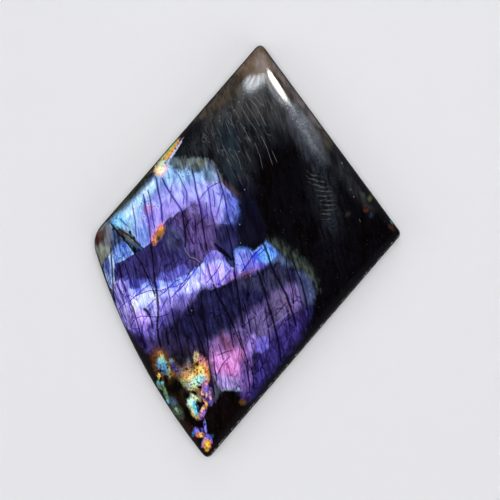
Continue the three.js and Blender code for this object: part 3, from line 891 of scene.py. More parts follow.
vein(0.15, (212.5, 188), (214.7, 201), (214.5, 208))
vein(0.15, (206, 201), (207, 212), (208.5, 226))
vein(0.16, (194.5, 215), (196, 237))
vein(0.16, (173.5, 216), (180.6, 226))
vein(0.15, (228, 193), (231.8, 201.8))
vein(0.15, (231.2, 204), (235.6, 211.7))
vein(0.17, (250, 250), (252, 258), (255, 270))
vein(0.18, (144, 319), (142, 330), (141, 343))
vein(0.24, (234.9, 329), (239, 340), (243.3, 350), (247.5, 360), (248.5, 378), (250.3, 391))
vein(0.24, (265, 306), (266.5, 320), (269.3, 334), (270, 346))
vein(0.16, (254, 314), (257.3, 333))
vein(0.22, (250.3, 364), (253, 375), (254.5, 392))
vein(0.14, (246, 357), (249, 370))
vein(0.16, (183, 213), (188, 222), (185, 229))
vein(0.16, (141, 262), (145, 272), (150, 280))
vein(0.15, (160, 314), (163, 305), (168, 297))
vein(0.18, (115, 282), (120, 291), (126, 299), (129, 303))
vein(0.2, (114, 290), (118, 300), (122, 310), (127, 322))
vein(0.2, (123.5, 282), (127.5, 293), (131.5, 306), (135.5, 320))
vein(0.2, (229, 320), (231, 334), (234, 350))
vein(0.2, (238, 328), (241, 340), (245, 352))
vein(0.2, (218, 342), (221, 352), (224, 362))
vein(0.16, (213, 362), (215, 372), (217, 384))
vein(0.2, (240, 352), (246, 366), (249, 382), (250, 396))
vein(0.15, (239, 252), (243, 262), (245, 270))
vein(0.15, (257, 256), (262, 252), (266, 248))
print("veins", len(LINES["vein"]))

# %% [markdown]
# Threads are thinner still and mostly run the other way, across the veins.

# %% Threads
thread = line_family("thread")
thread(0.14, (217, 182), (209, 188), (202.6, 195), (199, 201))
thread(0.16, (128, 303), (135, 296), (142, 290), (150, 284))
thread(0.15, (133, 298), (140, 294), (150, 290.5), (160, 291), (167, 288), (176, 286.5), (183, 282))
thread(0.16, (158, 297), (166, 291), (170, 286), (176, 281), (181, 279))
thread(0.16, (170, 299), (175, 294), (180, 287), (186, 279), (190, 272))
thread(0.16, (178, 292), (184, 285), (190, 277), (196, 269), (201, 262))
thread(0.16, (146, 308), (152, 302), (156, 298))
thread(0.15, (134, 319), (142, 316), (152, 317), (160, 317), (168, 314), (174, 308))
thread(0.15, (157, 334), (161, 325), (166, 318))
thread(0.15, (118, 310), (123, 305), (128, 300))
thread(0.16, (262, 323), (268, 316), (272, 311))
thread(0.16, (274, 317), (281, 309), (288, 301))
thread(0.16, (277, 331), (283, 321), (291, 313))
thread(0.15, (243, 328), (249, 321), (256, 316))
thread(0.16, (217, 375), (223, 364), (231, 355))
thread(0.22, (241, 273), (247, 265), (252, 257), (257, 252), (263, 246))
thread(0.15, (181, 188.6), (184, 196), (183, 206))
thread(0.18, (185.5, 227), (188, 221), (192, 218))
thread(0.2, (130.5, 328), (133, 322), (136, 317.5))
thread(0.15, (206, 284), (212, 277), (218, 269), (222, 261))
thread(0.15, (220, 283), (226, 276), (230, 270))
thread(0.14, (212, 186), (222, 181))
thread(0.14, (196, 226), (203, 219), (208, 213))
thread(0.15, (168, 226), (174, 218), (180, 210))
thread(0.15, (216, 356), (226, 352), (234, 350))
thread(0.14, (250, 372), (257, 362), (262, 352))
thread(0.14, (285, 322), (292, 316), (299, 311))
thread(0.22, (212.6, 350), (213.7, 358), (215, 370), (217.7, 382))
print("threads", len(LINES["thread"]))

# %% [markdown]
# The wall of a crack can catch the light. It then glows dull red or pale violet, and the two are called
# embers and glints here.

# %% Embers and glints
ember = line_family("ember")
glint = line_family("glint")
ember(0.3, (223, 330), (225, 341), (228.5, 352))
ember(0.22, (217.5, 335), (219.5, 345))
ember(0.26, (231, 344), (233.5, 356), (236.5, 368), (238.5, 381))
ember(0.18, (148, 221), (149, 230), (150, 240))
ember(0.24, (144.5, 202), (146.5, 215))
ember(0.2, (150, 202), (151, 212))
ember(0.15, (228, 282), (240, 275), (252, 271), (259, 266))
ember(0.16, (199, 270), (195, 276), (191, 282))
ember(0.18, (244, 280), (247.5, 275.5))
ember(0.16, (172, 297.5), (179, 293))
ember(0.2, (126, 308), (130, 320), (133, 330))
ember(0.2, (130.5, 304), (134, 317), (138, 329))
ember(0.15, (283, 297), (288, 305), (291.5, 314))
ember(0.16, (240, 356), (246, 362))
glint(0.14, (263, 333), (277, 322), (291, 311))
glint(0.16, (255.5, 320), (258, 314), (263, 309))
glint(0.15, (275, 327), (281, 319), (286, 315))
glint(0.16, (120, 282), (125.5, 295), (131, 314))
glint(0.16, (127, 281), (132, 300), (138, 322))
glint(0.15, (248, 344), (251, 354), (252, 366))
glint(0.15, (245, 325), (249, 317), (253, 312))
print("embers", len(LINES["ember"]), "glints", len(LINES["glint"]))

# %% [markdown]
# Hairlines are fine scratches in the polish of the dark ground, and one longer scratch crosses the dusky
# band. Specks are bright grains of dust and chips, and the row of them beside the bright streak near the
# top corner are painted glints of its light. Pits are small black holes in the flash.

# %% Hairlines, a scratch, specks and pits
hairline = line_family("hair")
scratch = line_family("scratch")
hairline(0.13, (247.5, 96.7), (255.8, 105), (261.7, 116.7), (266.7, 127))
hairline(0.11, (253, 95), (258, 101), (263.3, 107))
hairline(0.1, (258.3, 93.3), (262, 100), (265, 108.3))
hairline(0.1, (266, 98), (270, 104), (273, 110))
hairline(0.1, (271, 97), (277, 107))
hairline(0.1, (240, 104), (247.5, 118), (258.3, 133.3))
hairline(0.1, (244, 100), (250, 110), (256, 119), (260, 127))
hairline(0.1, (235, 110), (240, 120))
hairline(0.1, (229, 115), (235, 130))
hairline(0.1, (225, 120), (231.7, 136.7))
hairline(0.1, (221.7, 143), (227.5, 156.7), (231.7, 167))
hairline(0.1, (239, 121), (246, 132), (251, 143))
hairline(0.1, (260.5, 134), (266.7, 147), (273.3, 167))
hairline(0.09, (265.5, 133), (271.7, 136))
hairline(0.09, (245, 150), (251.7, 163))
hairline(0.09, (236.7, 134), (241.7, 144))
hairline(0.09, (271, 148), (278.3, 165))
hairline(0.08, (254, 140), (260, 156), (263, 170))
hairline(0.09, (233, 147), (239, 160), (242, 172))
hairline(0.09, (217, 128), (222, 138))
hairline(0.08, (284, 70), (292, 82), (300, 93))
hairline(0.08, (281, 74), (286, 82))
hairline(0.08, (292, 90), (299, 100))
hairline(0.12, (278, 99), (286, 105))
hairline(0.1, (359, 218), (361, 223))
SPECKS_AND_GLINTS = [(276.5, 95), (279.5, 99), (282, 103), (286, 104), (287.5, 108), (291, 106), (290, 112),
          (294, 114), (293, 119), (297, 121), (299, 127), (303, 124), (239, 101.7), (219.5, 120.7),
          (269.3, 66.7), (234.2, 110.2), (238.7, 151.4), (244.6, 189.5), (239.8, 224.5), (240.8, 243),
          (342, 163.2), (350.5, 189.5), (354, 196.5), (298, 111.6), (250.5, 275.6), (191.6, 310.5)]
PITS = [(141.4, 203.6), (148, 203.6), (158, 206.5), (143.8, 217), (116, 222), (122.7, 246.5), (149, 252),
        (288.5, 172.7), (188.3, 173), (178.5, 170.5), (183, 176.5)]
SPECK_AND_GLINT_RADIUS, PIT_RADIUS = 0.14, 0.17
scratch(0.14, (183.8, 246), (186, 252), (190, 257), (196, 259), (200.5, 263))
print("hairlines", len(LINES["hair"]), "specks", len(SPECKS_AND_GLINTS), "pits", len(PITS))

# %% [markdown]
# On the right a smudge on the polish catches the light in faint pale ripples, which are painted sheen. The
# ripples themselves are worked out later from a formula. Only the part of the face that they cover is
# drawn.

# %% Where the painted sheen is rippled
RIPPLES = [(307, 170), (316, 172), (326, 180), (332, 190), (334, 200), (333, 212), (330, 220), (322, 219),
           (320, 206), (318, 194), (312, 185), (306, 177)]
print("ripple outline", len(RIPPLES), "points")

# %% [markdown]
# Now the drawings become fields. A field is one number at each point of the mesh, and the renderer blends
# it across each triangle, so a field should change evenly. A distance does, a colour with a crisp edge
# doesn't: that is why the distance is stored and the edge is cut later, in the material.

# %% Distances to outlines and lines
FAR, FIELD_LIMIT = 99.0, 20
TAPER_RATE, THINNEST = 4, 0.05
plan = points[:, :2]


def to_segment(places, start, end):
    """Share along the segment, clamped to it, and distance from it."""
    run = end - start
    share = np.clip((places - start) @ run / (run @ run), 0, 1)
    return share, np.linalg.norm(places - start - share[:, None] * run, axis=1)


def inside_distance(places, outline):
    """Distance to the outline's nearest edge, positive where a ray crosses it an odd number of times."""
    nearest = np.full(len(places), np.inf)
    inside = np.zeros(len(places), dtype=bool)
    for start, end in zip(outline, np.roll(outline, -1, axis=0)):
        nearest = np.minimum(nearest, to_segment(places, start, end)[1])
        spans = (start[1] > places[:, 1]) != (end[1] > places[:, 1])
        rise = end[1] - start[1] or 1.0
        crossing = start[0] + (places[:, 1] - start[1]) * (end[0] - start[0]) / rise
        inside ^= spans & (places[:, 0] < crossing)
    return np.where(inside, nearest, -nearest)


def line_fields(places, lines):
    """For the nearest line: signed distance and plain distance, both over the line's half width there."""
    side_of, near = np.full(len(places), FAR), np.full(len(places), FAR)
    for width, path in lines:
        path = on_stone(path)
        steps = len(path) - 1
        for step in range(steps):
            share, distance = to_segment(places, path[step], path[step + 1])
            to_an_end = np.minimum(step + share, steps - step - share)
            half_width = np.clip(TAPER_RATE * to_an_end, THINNEST, 1) * width / 2
            sign = np.sign(depth_inside(places, path[step], path[step + 1]))
            closer = distance / half_width < near
            side_of = np.where(closer, sign * distance / half_width, side_of)
            near = np.where(closer, distance / half_width, near)
    return np.clip(side_of, -FIELD_LIMIT, FIELD_LIMIT), np.clip(near, 0, FIELD_LIMIT)


def dot_field(places, dots, radius):
    """Distance inside the nearest dot: its radius less the distance to its middle."""
    gaps = np.linalg.norm(places[:, None, :] - on_stone(dots)[None], axis=2)
    return radius - gaps.min(axis=1)


print("points that carry fields", len(plan))

# %% [markdown]
# Every zone gets its own field, and every family of lines gets two. A few more say how deep a point lies
# inside the flash as a whole, inside the rim, and inside the lower right side, which is the worn one.

# %% Store the fields
FLASHING = ("upper_flash", "dusky", "bright_band", "lower_ground", "blue_window", "pale_stripe")


def store(name, values):
    """Keep one number for each point of the mesh under a name."""
    field = mesh.attributes.new(name, "FLOAT", "POINT")
    field.data.foreach_set("value", np.ascontiguousarray(values, dtype=np.float32))


for name, *_, outline in ZONES:
    store("zone_" + name, inside_distance(plan, on_stone(outline)))

for name, lines in LINES.items():
    side_of, near = line_fields(plan, lines)
    store(name + "_side", side_of)
    store(name + "_near", near)

flash_depths = [inside_distance(plan, on_stone(outline)) for name, *_, outline in ZONES if name in FLASHING]
store("flash", np.max(flash_depths, axis=0))
store("rim_depth", np.min(side_depths(plan), axis=0))
store("ripple", inside_distance(plan, on_stone(RIPPLES)))
store("lower_right", side_depths(plan)[2])
store("speck_and_glint", dot_field(plan, SPECKS_AND_GLINTS, SPECK_AND_GLINT_RADIUS))
store("pit", dot_field(plan, PITS, PIT_RADIUS))
print("fields", len(mesh.attributes))

# %% [markdown]
# Nodes are added through a small class, so that each line below reads as what it does. An input may be a
# number, a colour or another node's output. The helper that is used most is the step: it cuts a mask out
# of a field or a noise, by climbing smoothly between two of its values.

# %% A short way to write nodes
def linear(rgb):
    """An sRGB colour of 0 to 255 as the linear colour that a shader takes."""
    c = np.array(rgb, dtype=float) / 255
    return (*np.where(c <= 0.04045, c / 12.92, ((c + 0.055) / 1.055) ** 2.4), 1.0)


class Nodes:
    """Adds nodes to one tree."""

    def __init__(self, tree):
        self.tree = tree

    def add(self, kind, inputs, output=0, **settings):
        node = self.tree.nodes.new(kind)
        for key, value in settings.items():
            setattr(node, key, value)
        for key, value in inputs.items():
            if isinstance(value, bpy.types.NodeSocket):
                self.tree.links.new(value, node.inputs[key])
            else:
                node.inputs[key].default_value = value
        return node.outputs[output] if node.outputs else None

    def math(self, operation, a, b=0.0, c=0.0):
        return self.add("ShaderNodeMath", {0: a, 1: b, 2: c}, operation=operation)

    def times(self, a, b):
        return self.math("MULTIPLY", a, b)

    def mix(self, share, a, b, **settings):
        """Colour a turning into colour b by the share."""
        return self.add("ShaderNodeMix", {0: share, 6: a, 7: b}, output=2, data_type="RGBA", **settings)

    def multiply(self, share, a, b, **settings):
        """Colour a turning into a times b by the share, as a glaze does."""
        return self.mix(share, a, b, blend_type="MULTIPLY", **settings)

    def step(self, value, low, high, to_low=0.0, to_high=1.0):
        """A smooth climb from to_low to to_high as the value goes from low to high."""
        inputs = {0: value, 1: low, 2: high, 3: to_low, 4: to_high}
        return self.add("ShaderNodeMapRange", inputs, interpolation_type="SMOOTHSTEP", clamp=False)

    def sized(self, vector, angle, size):
        """Pattern coordinates turned by an angle, with features of the given size along each axis."""
        inputs = {"Vector": vector, "Rotation": (0, 0, angle), "Scale": size}
        return self.add("ShaderNodeMapping", inputs, vector_type="TEXTURE")

    def noise(self, vector, detail=2.0, roughness=0.5):
        inputs = {"Vector": vector, "Scale": 1.0, "Detail": detail, "Roughness": roughness}
        return self.add("ShaderNodeTexNoise", inputs)

    def cells(self, vector, output=0, **settings):
        inputs = {"Vector": vector, "Scale": 1.0}
        return self.add("ShaderNodeTexVoronoi", inputs, output=output, **settings)

    def field(self, name):
        return self.add("ShaderNodeAttribute", {}, output="Fac", attribute_name=name)


# %% [markdown]
# The grain of the stone leans: its cracks and streaks run down and a little to the right. Patterns are
# sized in millimetres, across and along that lean. One noise makes edges ragged, one makes fine streaks,
# one makes slow clouds, and stretched cells give each grain a brightness of its own. The last three add
# up to the tone, which chooses between a zone's dark and light colours. A noise stays close to a half, so
# each is cut near there.

# %% Start the stone's material
LEAN = math.radians(21)
MM = METRES
GRAIN_LEAN, GRAIN_SIZE = math.radians(17), (1.25 * MM, 5.0 * MM, MM)
STREAK_SHARE, CLOUD_SHARE, GRAIN_SHARE = 0.34, 0.4, 0.26

material = bpy.data.materials.new("polished_labradorite")
material.use_nodes = True
material.node_tree.nodes.clear()
n = Nodes(material.node_tree)
place = n.add("ShaderNodeTexCoord", {}, output="Object")


def grain(angle, across, along, detail=2.0, roughness=0.5):
    """A noise with features this many millimetres across and along an angle."""
    return n.noise(n.sized(place, angle, (across * MM, along * MM, MM)), detail, roughness)


ragged_noise = n.math("SUBTRACT", grain(LEAN, 0.42, 1.1, 4.0, 0.7), 0.5)
streaks = n.step(grain(LEAN, 0.45, 4.5), 0.36, 0.64)
clouds = n.step(grain(LEAN, 1.2, 2.4, 3.0), 0.34, 0.66)
grains = n.cells(n.sized(place, GRAIN_LEAN, GRAIN_SIZE), output=1)
facets = n.add("ShaderNodeSeparateColor", {0: grains})
tone = n.math("ADD", n.times(streaks, STREAK_SHARE), n.times(clouds, CLOUD_SHARE))
tone = n.step(n.math("MULTIPLY_ADD", facets, GRAIN_SHARE, tone), 0.12, 0.88)


def tell(step):
    """Print how many nodes the material has after a step."""
    print("nodes after", step + ":", len(material.node_tree.nodes))


tell("the noises")

# %% [markdown]
# The ground is almost black with a little navy in it. Then each zone is laid over it: its distance, made
# ragged by noise, is cut to a mask, and the mask lays on the two tones.

# %% Paint the zones
GROUND_DARK, GROUND_LIGHT = (0, 0, 1), (4, 5, 12)
colour = n.mix(tone, linear(GROUND_DARK), linear(GROUND_LIGHT))
for name, soft, ragged, strength, dark, light, _ in ZONES:
    distance = n.math("MULTIPLY_ADD", ragged_noise, 2 * ragged, n.field("zone_" + name))
    mask = n.step(distance, -soft / 2, soft / 2, 0.0, strength)
    colour = n.mix(mask, colour, n.mix(tone, linear(dark), linear(light)))
tell("the zones")

# %% [markdown]
# Now the grain darkens and lightens what was painted. Strips run along the lean, each a little brighter
# or duller than the next, a fine mottle breaks them up, and patches vary it once more. The change is full
# in the flash and slight in the black ground. The upper flash is calmer than that, and the earthy corner
# is rougher. Where a colour holds much green, as the brightest flash does, its blue varies less, because
# blue is what a strong flash keeps at its fullest.

# %% Strips and mottle
CALM, EARTHY, QUIET_GROUND = 0.5, 1.9, 0.12
strips = n.step(grain(LEAN, 0.5, 8.0, 2.0, 0.6), 0.3, 0.7, 0.82, 1.22)
mottle = n.step(grain(LEAN, 0.17, 0.7, 3.0, 0.7), 0.3, 0.7, 0.72, 1.26)
patches = n.step(grain(LEAN, 0.9, 1.4, 3.0, 0.6), 0.3, 0.7, 0.9, 1.12)
shade = n.times(n.times(strips, mottle), patches)
flashing = n.step(n.field("flash"), -0.6, 0.6, QUIET_GROUND, 1.0)
calm = n.step(n.field("zone_upper_flash"), -0.5, 0.8, 1.0, CALM)
earth_depth = n.math("MAXIMUM", n.field("zone_matrix"), n.field("zone_black_wedge"))
earth = n.step(earth_depth, -0.3, 0.6, 0.0, EARTHY)
flashing = n.math("MAXIMUM", n.times(flashing, calm), earth)
change = n.times(n.math("SUBTRACT", shade, 1.0), flashing)
green_level = n.add("ShaderNodeSeparateColor", {0: colour}, output=1)
blue_change = n.times(change, n.step(green_level, 0.05, 0.4, 1.0, 0.35))
shade = n.math("ADD", change, 1.0)
shades = n.add("ShaderNodeCombineColor", {0: shade, 1: shade, 2: n.math("ADD", blue_change, 1.0)})
colour = n.multiply(1.0, colour, shades, clamp_result=True)
tell("the strips")

# %% [markdown]
# A fleck needs no field on the mesh, because an ellipse is only a circle in turned and stretched
# coordinates. The mapping does that. A round gradient then falls from one at the fleck's middle to
# nothing at a margin outside it, and a fine noise roughens the gradient before the mask is cut.

# %% Paint the flecks
MARGIN, FLECK_DEPTH = 1.8, 0.5
FLECK_EDGE = 1 - 1 / MARGIN
roughness = n.step(grain(LEAN, 0.34, 0.46, 4.0, 0.8), 0.2, 0.8, 0.38, 1.62)
fleck_tone = n.step(grain(LEAN, 0.35, 0.6, 2.0, 0.6), 0.25, 0.55)
for pixel, size, lean, soft, dark, light in FLECKS:
    middle = on_stone([pixel])[0] * METRES
    half = np.array(size) * MM_PER_PIXEL * METRES / 2 * MARGIN
    turn = math.pi / 2 + VIEW_TILT - math.radians(lean)
    ellipse = {"Vector": place, "Location": (*middle, 0), "Rotation": (0, 0, turn), "Scale": (*half, 1)}
    local = n.add("ShaderNodeMapping", ellipse, vector_type="TEXTURE")
    inward = n.add("ShaderNodeTexGradient", {0: local}, output=1, gradient_type="SPHERICAL")
    mask = n.step(n.times(inward, roughness), FLECK_EDGE - soft / 3, FLECK_EDGE + soft / 3)
    deep = (*(FLECK_DEPTH * np.array(linear(dark)[:3])), 1.0)
    colour = n.mix(mask, colour, n.mix(fleck_tone, deep, linear(light)))
tell("the flecks")

# %% [markdown]
# The earthy corner and the fracture are peppered with dark grains, and the painted sheen of the haze on the
# right is mottled by a fine noise that lies across it. Both are glazes: they multiply what is there.

# %% Pepper and mist
PEPPER = (70, 57, 55)
pepper = n.step(grain(LEAN, 0.3, 0.42, 3.0, 0.7), 0.37, 0.48, 1.0, 0.0)
pepper_depth = n.math("MAXIMUM", n.field("zone_matrix"), n.field("zone_fracture"))
peppered = n.times(pepper, n.step(pepper_depth, 0.0, 1.0))
colour = n.multiply(peppered, colour, linear(PEPPER))

mist = n.step(grain(0.2, 0.42, 0.2, 3.0, 0.7), 0.3, 0.7, 0.42, 1.64)
haze_sheen_share = n.step(n.math("MAXIMUM", n.field("zone_haze_sheen_top"), n.field("zone_haze_sheen_low")), -1.0, 1.0)
mist = n.math("MULTIPLY_ADD", n.math("SUBTRACT", mist, 1.0), haze_sheen_share, 1.0)
colour = n.multiply(1.0, colour, n.add("ShaderNodeCombineColor", {0: mist, 1: mist, 2: mist}))
tell("the mist")

# %% [markdown]
# Hair cracks run all through the stone, finer than the ones that were drawn. The long ones are level
# lines of a noise stretched along the lean: where it crosses its middle value, a thin line follows. The
# slanted ones are the edges of stretched cells. A cloud opens and closes each family, so no line runs on
# for ever. They glaze the stone with a tint that is bluer in the brightest flash and redder in the pink.

# %% Hair cracks
HAIR_TINT, BRIGHT_HAIR_TINT, PINK_HAIR_TINT = (106, 88, 148), (116, 96, 230), (198, 100, 158)
BEND_SIZE, BEND_REACH = 2.5, 0.4
CLOUD_TURN = 1.0
brightest = n.step(n.math("MAXIMUM", n.field("zone_upper_flash"), n.field("zone_bright_band")), -0.4, 0.4)
hair_tint = n.mix(brightest, linear(HAIR_TINT), linear(BRIGHT_HAIR_TINT))
hair_tint = n.mix(n.step(n.field("zone_pink"), -1.0, 0.8), hair_tint, linear(PINK_HAIR_TINT))
lit = n.step(n.field("flash"), -0.3, 0.3)
grain_edges = n.cells(n.sized(place, GRAIN_LEAN, GRAIN_SIZE), feature="DISTANCE_TO_EDGE")
grain_lines = n.times(n.step(grain_edges, 0.01, 0.05, 1.0, 0.0), n.step(clouds, 0.2, 0.6, 0.15, 0.75))
lit_calm = n.times(lit, calm)
colour = n.multiply(n.times(grain_lines, lit_calm), colour, hair_tint)
bend_places = n.sized(place, 0, (BEND_SIZE * MM, BEND_SIZE * MM, MM))
bend = n.add("ShaderNodeTexNoise", {"Vector": bend_places, "Scale": 1.0}, output=1)
bend_reach = (BEND_REACH * MM, BEND_REACH * MM, 0)
bent = n.add("ShaderNodeVectorMath", {0: bend, 1: bend_reach, 2: place}, operation="MULTIPLY_ADD")


def level_line(angle, size, inner, width):
    """One where a stretched noise is at its middle value, nothing where it is a width away from it."""
    waves = n.noise(n.sized(bent, angle, (size[0] * MM, size[1] * MM, MM)), 1.0, 0.4)
    return n.step(n.math("ABSOLUTE", n.math("SUBTRACT", waves, 0.5)), inner, width, 1.0, 0.0)


def hair_cracks(angle, size, width, share, strength):
    """Level lines that lean by an angle in degrees, kept where a cloud is above a half plus the share."""
    angle = math.radians(angle)
    line = level_line(angle, size, 0.2 * width, width)
    cloud = grain(angle + CLOUD_TURN, 1.8, 3.2, 2.0, 0.6)
    kept = n.times(n.step(cloud, 0.5 + share, 0.6 + share, 0.0, strength), lit_calm)
    return n.multiply(n.times(line, kept), colour, hair_tint)


colour = hair_cracks(17, (1.8, 20.0), 0.018, -0.1, 0.9)
colour = hair_cracks(23, (0.8, 9.0), 0.022, 0.0, 0.55)
colour = hair_cracks(-38, (1.3, 9.0), 0.016, 0.0, 0.6)
colour = hair_cracks(48, (1.5, 9.0), 0.013, 0.05, 0.5)
tell("the hair cracks")

# %% [markdown]
# The drawn lines come next because they cut through everything. A family's signed distance makes a clean
# thin line. Its plain distance guards it: halfway between two lines the sign flips, which would draw a
# false line there. Veins also lie in a soft band of shade, since they go down into the stone at a slant.

# %% Veins, threads and cracks
SHADE_TINT, BRIGHT_SHADE_TINT = (104, 84, 128), (124, 98, 214)
VEIN_TINT, BRIGHT_VEIN_TINT = (76, 60, 98), (84, 66, 150)
THREAD_TINT, BRIGHT_THREAD_TINT = (96, 80, 130), (96, 74, 190)
GLINT_COLOUR, EMBER_COLOUR, CRACK_COLOUR = (150, 136, 244), (176, 84, 76), (10, 6, 26)
HAIRLINE_COLOUR, SCRATCH_COLOUR = (150, 150, 148), (134, 140, 118)
SHADE_SHARE, VEIN_SHARE, THREAD_SHARE, CRACK_SHARE = 0.34, 0.9, 0.95, 0.93
GLINT_SHARE, EMBER_SHARE, HAIRLINE_SHARE, SCRATCH_SHARE = 0.28, 0.3, 0.26, 0.58
GUARD_START, GUARD_END = 3.0, 4.0


def line_mask(name, wobble, inner=0.5, outer=1.5):
    """Full inside the inner share of a line's half width and nothing past the outer one."""
    side_of = n.math("ADD", n.field(name + "_side"), n.times(ragged_noise, wobble))
    line = n.step(n.math("ABSOLUTE", side_of), inner, outer, 1.0, 0.0)
    return n.times(line, n.step(n.field(name + "_near"), GUARD_START, GUARD_END, 1.0, 0.0))


vein_shade = line_mask("vein", 1.0, 0.8, 2.8)
shade_tint = n.mix(brightest, linear(SHADE_TINT), linear(BRIGHT_SHADE_TINT))
colour = n.multiply(n.times(vein_shade, SHADE_SHARE), colour, shade_tint)
vein_mask = line_mask("vein", 1.1, 0.4, 1.25)
vein_tint = n.mix(brightest, linear(VEIN_TINT), linear(BRIGHT_VEIN_TINT))
colour = n.multiply(n.times(vein_mask, VEIN_SHARE), colour, vein_tint)
thread_mask = line_mask("thread", 1.2, 0.6, 1.6)
thread_tint = n.mix(brightest, linear(THREAD_TINT), linear(BRIGHT_THREAD_TINT))
colour = n.multiply(n.times(thread_mask, THREAD_SHARE), colour, thread_tint)
glint_mask = line_mask("glint", 1.2)
colour = n.mix(n.times(glint_mask, GLINT_SHARE), colour, linear(GLINT_COLOUR))
ember_mask = line_mask("ember", 1.4)
colour = n.mix(n.times(ember_mask, EMBER_SHARE), colour, linear(EMBER_COLOUR))
crack_mask = line_mask("crack", 1.5, 0.35, 1.25)
colour = n.mix(n.times(crack_mask, CRACK_SHARE), colour, linear(CRACK_COLOUR))
hair_mask = line_mask("hair", 1.0)
colour = n.mix(n.times(hair_mask, HAIRLINE_SHARE), colour, linear(HAIRLINE_COLOUR))
scratch_mask = line_mask("scratch", 1.0)
colour = n.mix(n.times(scratch_mask, SCRATCH_SHARE), colour, linear(SCRATCH_COLOUR))
tell("the lines")

# %% [markdown]
# A pit is a black dot. In the brightest flash it has a pale ring round it, where its broken wall throws
# light back. A speck is a grain of dust or a chip that shines, or a painted glint of light beside the
# bright streak.

# %% Pits and specks
PIT_HALO, PIT_COLOUR, SPECK_AND_GLINT_COLOUR = (184, 232, 255), (10, 12, 18), (170, 176, 186)
halo = n.times(n.step(n.field("pit"), -0.28, -0.12, 0.0, 0.4), brightest)
colour = n.mix(halo, colour, linear(PIT_HALO))
colour = n.mix(n.step(n.field("pit"), -0.05, 0.08), colour, linear(PIT_COLOUR))
colour = n.mix(n.step(n.field("speck_and_glint"), -0.05, 0.1, 0.0, 0.8), colour, linear(SPECK_AND_GLINT_COLOUR))
tell("the specks")

# %% [markdown]
# The smoky part is crossed by very fine scratches, again level lines of a stretched noise, and the dark
# ground has dust in it: dots at the middles of random cells, of which only some are kept.

# %% Fine scratches and dust
FINE_SCRATCH, DUST = (146, 146, 142), (112, 116, 118)
DUST_CELL, FINE_WIDTH = 0.9, 0.014


def fine_scratches(angle, size, share):
    """Level lines that lean by an angle in degrees, kept in the smoky zone where a cloud opens."""
    angle = math.radians(angle)
    line = level_line(angle, size, 0.0, FINE_WIDTH)
    cloud = grain(angle + CLOUD_TURN, 2.2, 3.0, 2.0, 0.6)
    smoke = n.step(n.field("zone_smoky"), -0.5, 2.5, 0.0, share)
    return n.mix(n.times(line, n.times(smoke, n.step(cloud, 0.4, 0.6))), colour, linear(FINE_SCRATCH))


colour = fine_scratches(36, (1.1, 16.0), 0.22)
colour = fine_scratches(28, (1.6, 20.0), 0.18)

dust_places = n.sized(place, 0, (DUST_CELL * MM, DUST_CELL * MM, MM))
dust_gap = n.cells(dust_places, voronoi_dimensions="2D")
dust_dice = n.cells(dust_places, output=1, voronoi_dimensions="2D")
dust_kept = n.step(n.add("ShaderNodeSeparateColor", {0: dust_dice}), 0.5, 1.0, 0.0, 0.34)
dust = n.times(n.step(dust_gap, 0.02, 0.1, 1.0, 0.0), dust_kept)
dust = n.times(dust, n.step(grain(0, 4.0, 4.0), 0.4, 0.65))
colour = n.mix(dust, colour, linear(DUST))
tell("the dust")

# %% [markdown]
# The painted sheen on the right carries faint pale ripples, the light caught by a smudge: arcs of circles
# about one middle, a fixed step apart. A slow noise makes the arcs wander, and another one breaks them.

# %% Ripples
RIPPLE_MIDDLE, RIPPLE_STEP, WANDER = (327, 142), 4.5, 4.6
RIPPLE_SHEEN_COLOUR, RIPPLE_SHEEN_STRENGTH = (124, 124, 122), 0.3
ripple_middle = on_stone([RIPPLE_MIDDLE])[0] * METRES
ripple_scale = RIPPLE_STEP * MM_PER_PIXEL * METRES / math.tau
from_middle = {"Vector": place, "Location": (*ripple_middle, 0), "Scale": (ripple_scale, ripple_scale, 1)}
around_middle = n.add("ShaderNodeMapping", from_middle, vector_type="TEXTURE")
flat_offset = n.add("ShaderNodeVectorMath", {0: around_middle, 1: (1, 1, 0)}, operation="MULTIPLY")
rounds = n.add("ShaderNodeVectorMath", {0: flat_offset}, output=1, operation="LENGTH")
wander = grain(0.2, 1.2, 0.7)
rounds = n.math("MULTIPLY_ADD", wander, WANDER, rounds)
crests = n.step(n.math("SINE", rounds), 0.1, 1.0)
broken = n.step(grain(0.1, 0.8, 0.4, 2.0, 0.6), 0.36, 0.62, 0.1, 1.0)
crests = n.times(crests, broken)
ripple_sheen_share = n.times(crests, n.step(n.field("ripple"), -0.6, 1.1, 0.0, RIPPLE_SHEEN_STRENGTH))
colour = n.mix(ripple_sheen_share, colour, linear(RIPPLE_SHEEN_COLOUR))
tell("the ripples")

# %% [markdown]
# The flash dies where the shoulder turns down, so the stone has a thin black rim all round. On the lower
# right the rim is worn: a line of pale dashes runs just above the girdle.

# %% Black rim
RIM_GLAZE, WORN_COLOUR = (40, 38, 42), (186, 180, 176)
WORN_FROM, WORN_FULL = 2.8 * MM, 2.95 * MM
rim_noise = n.math("MULTIPLY_ADD", ragged_noise, 0.4, n.field("rim_depth"))
colour = n.multiply(n.step(rim_noise, 0.3, 0.62, 0.9, 0.0), colour, linear(RIM_GLAZE))
worn = n.step(grain(0, 0.4, 0.4, 3.0, 0.7), 0.49, 0.6, 0.0, 0.7)
worn = n.times(worn, n.step(n.field("lower_right"), 0.46, 0.66, 1.0, 0.0))
height = n.add("ShaderNodeSeparateXYZ", {0: place}, output=2)
worn = n.times(worn, n.step(height, WORN_FROM, WORN_FULL))
worn = n.times(worn, n.step(grain(0, 2.6, 2.6), 0.4, 0.6, 0.15, 1.0))
colour = n.mix(worn, colour, linear(WORN_COLOUR))
tell("the rim")

# %% [markdown]
# Seen from the side the stone shows no flash, only its dark body. The photograph doesn't show the back. It
# is taken as ground and not polished, grey and dull, as the backs of such stones often are.

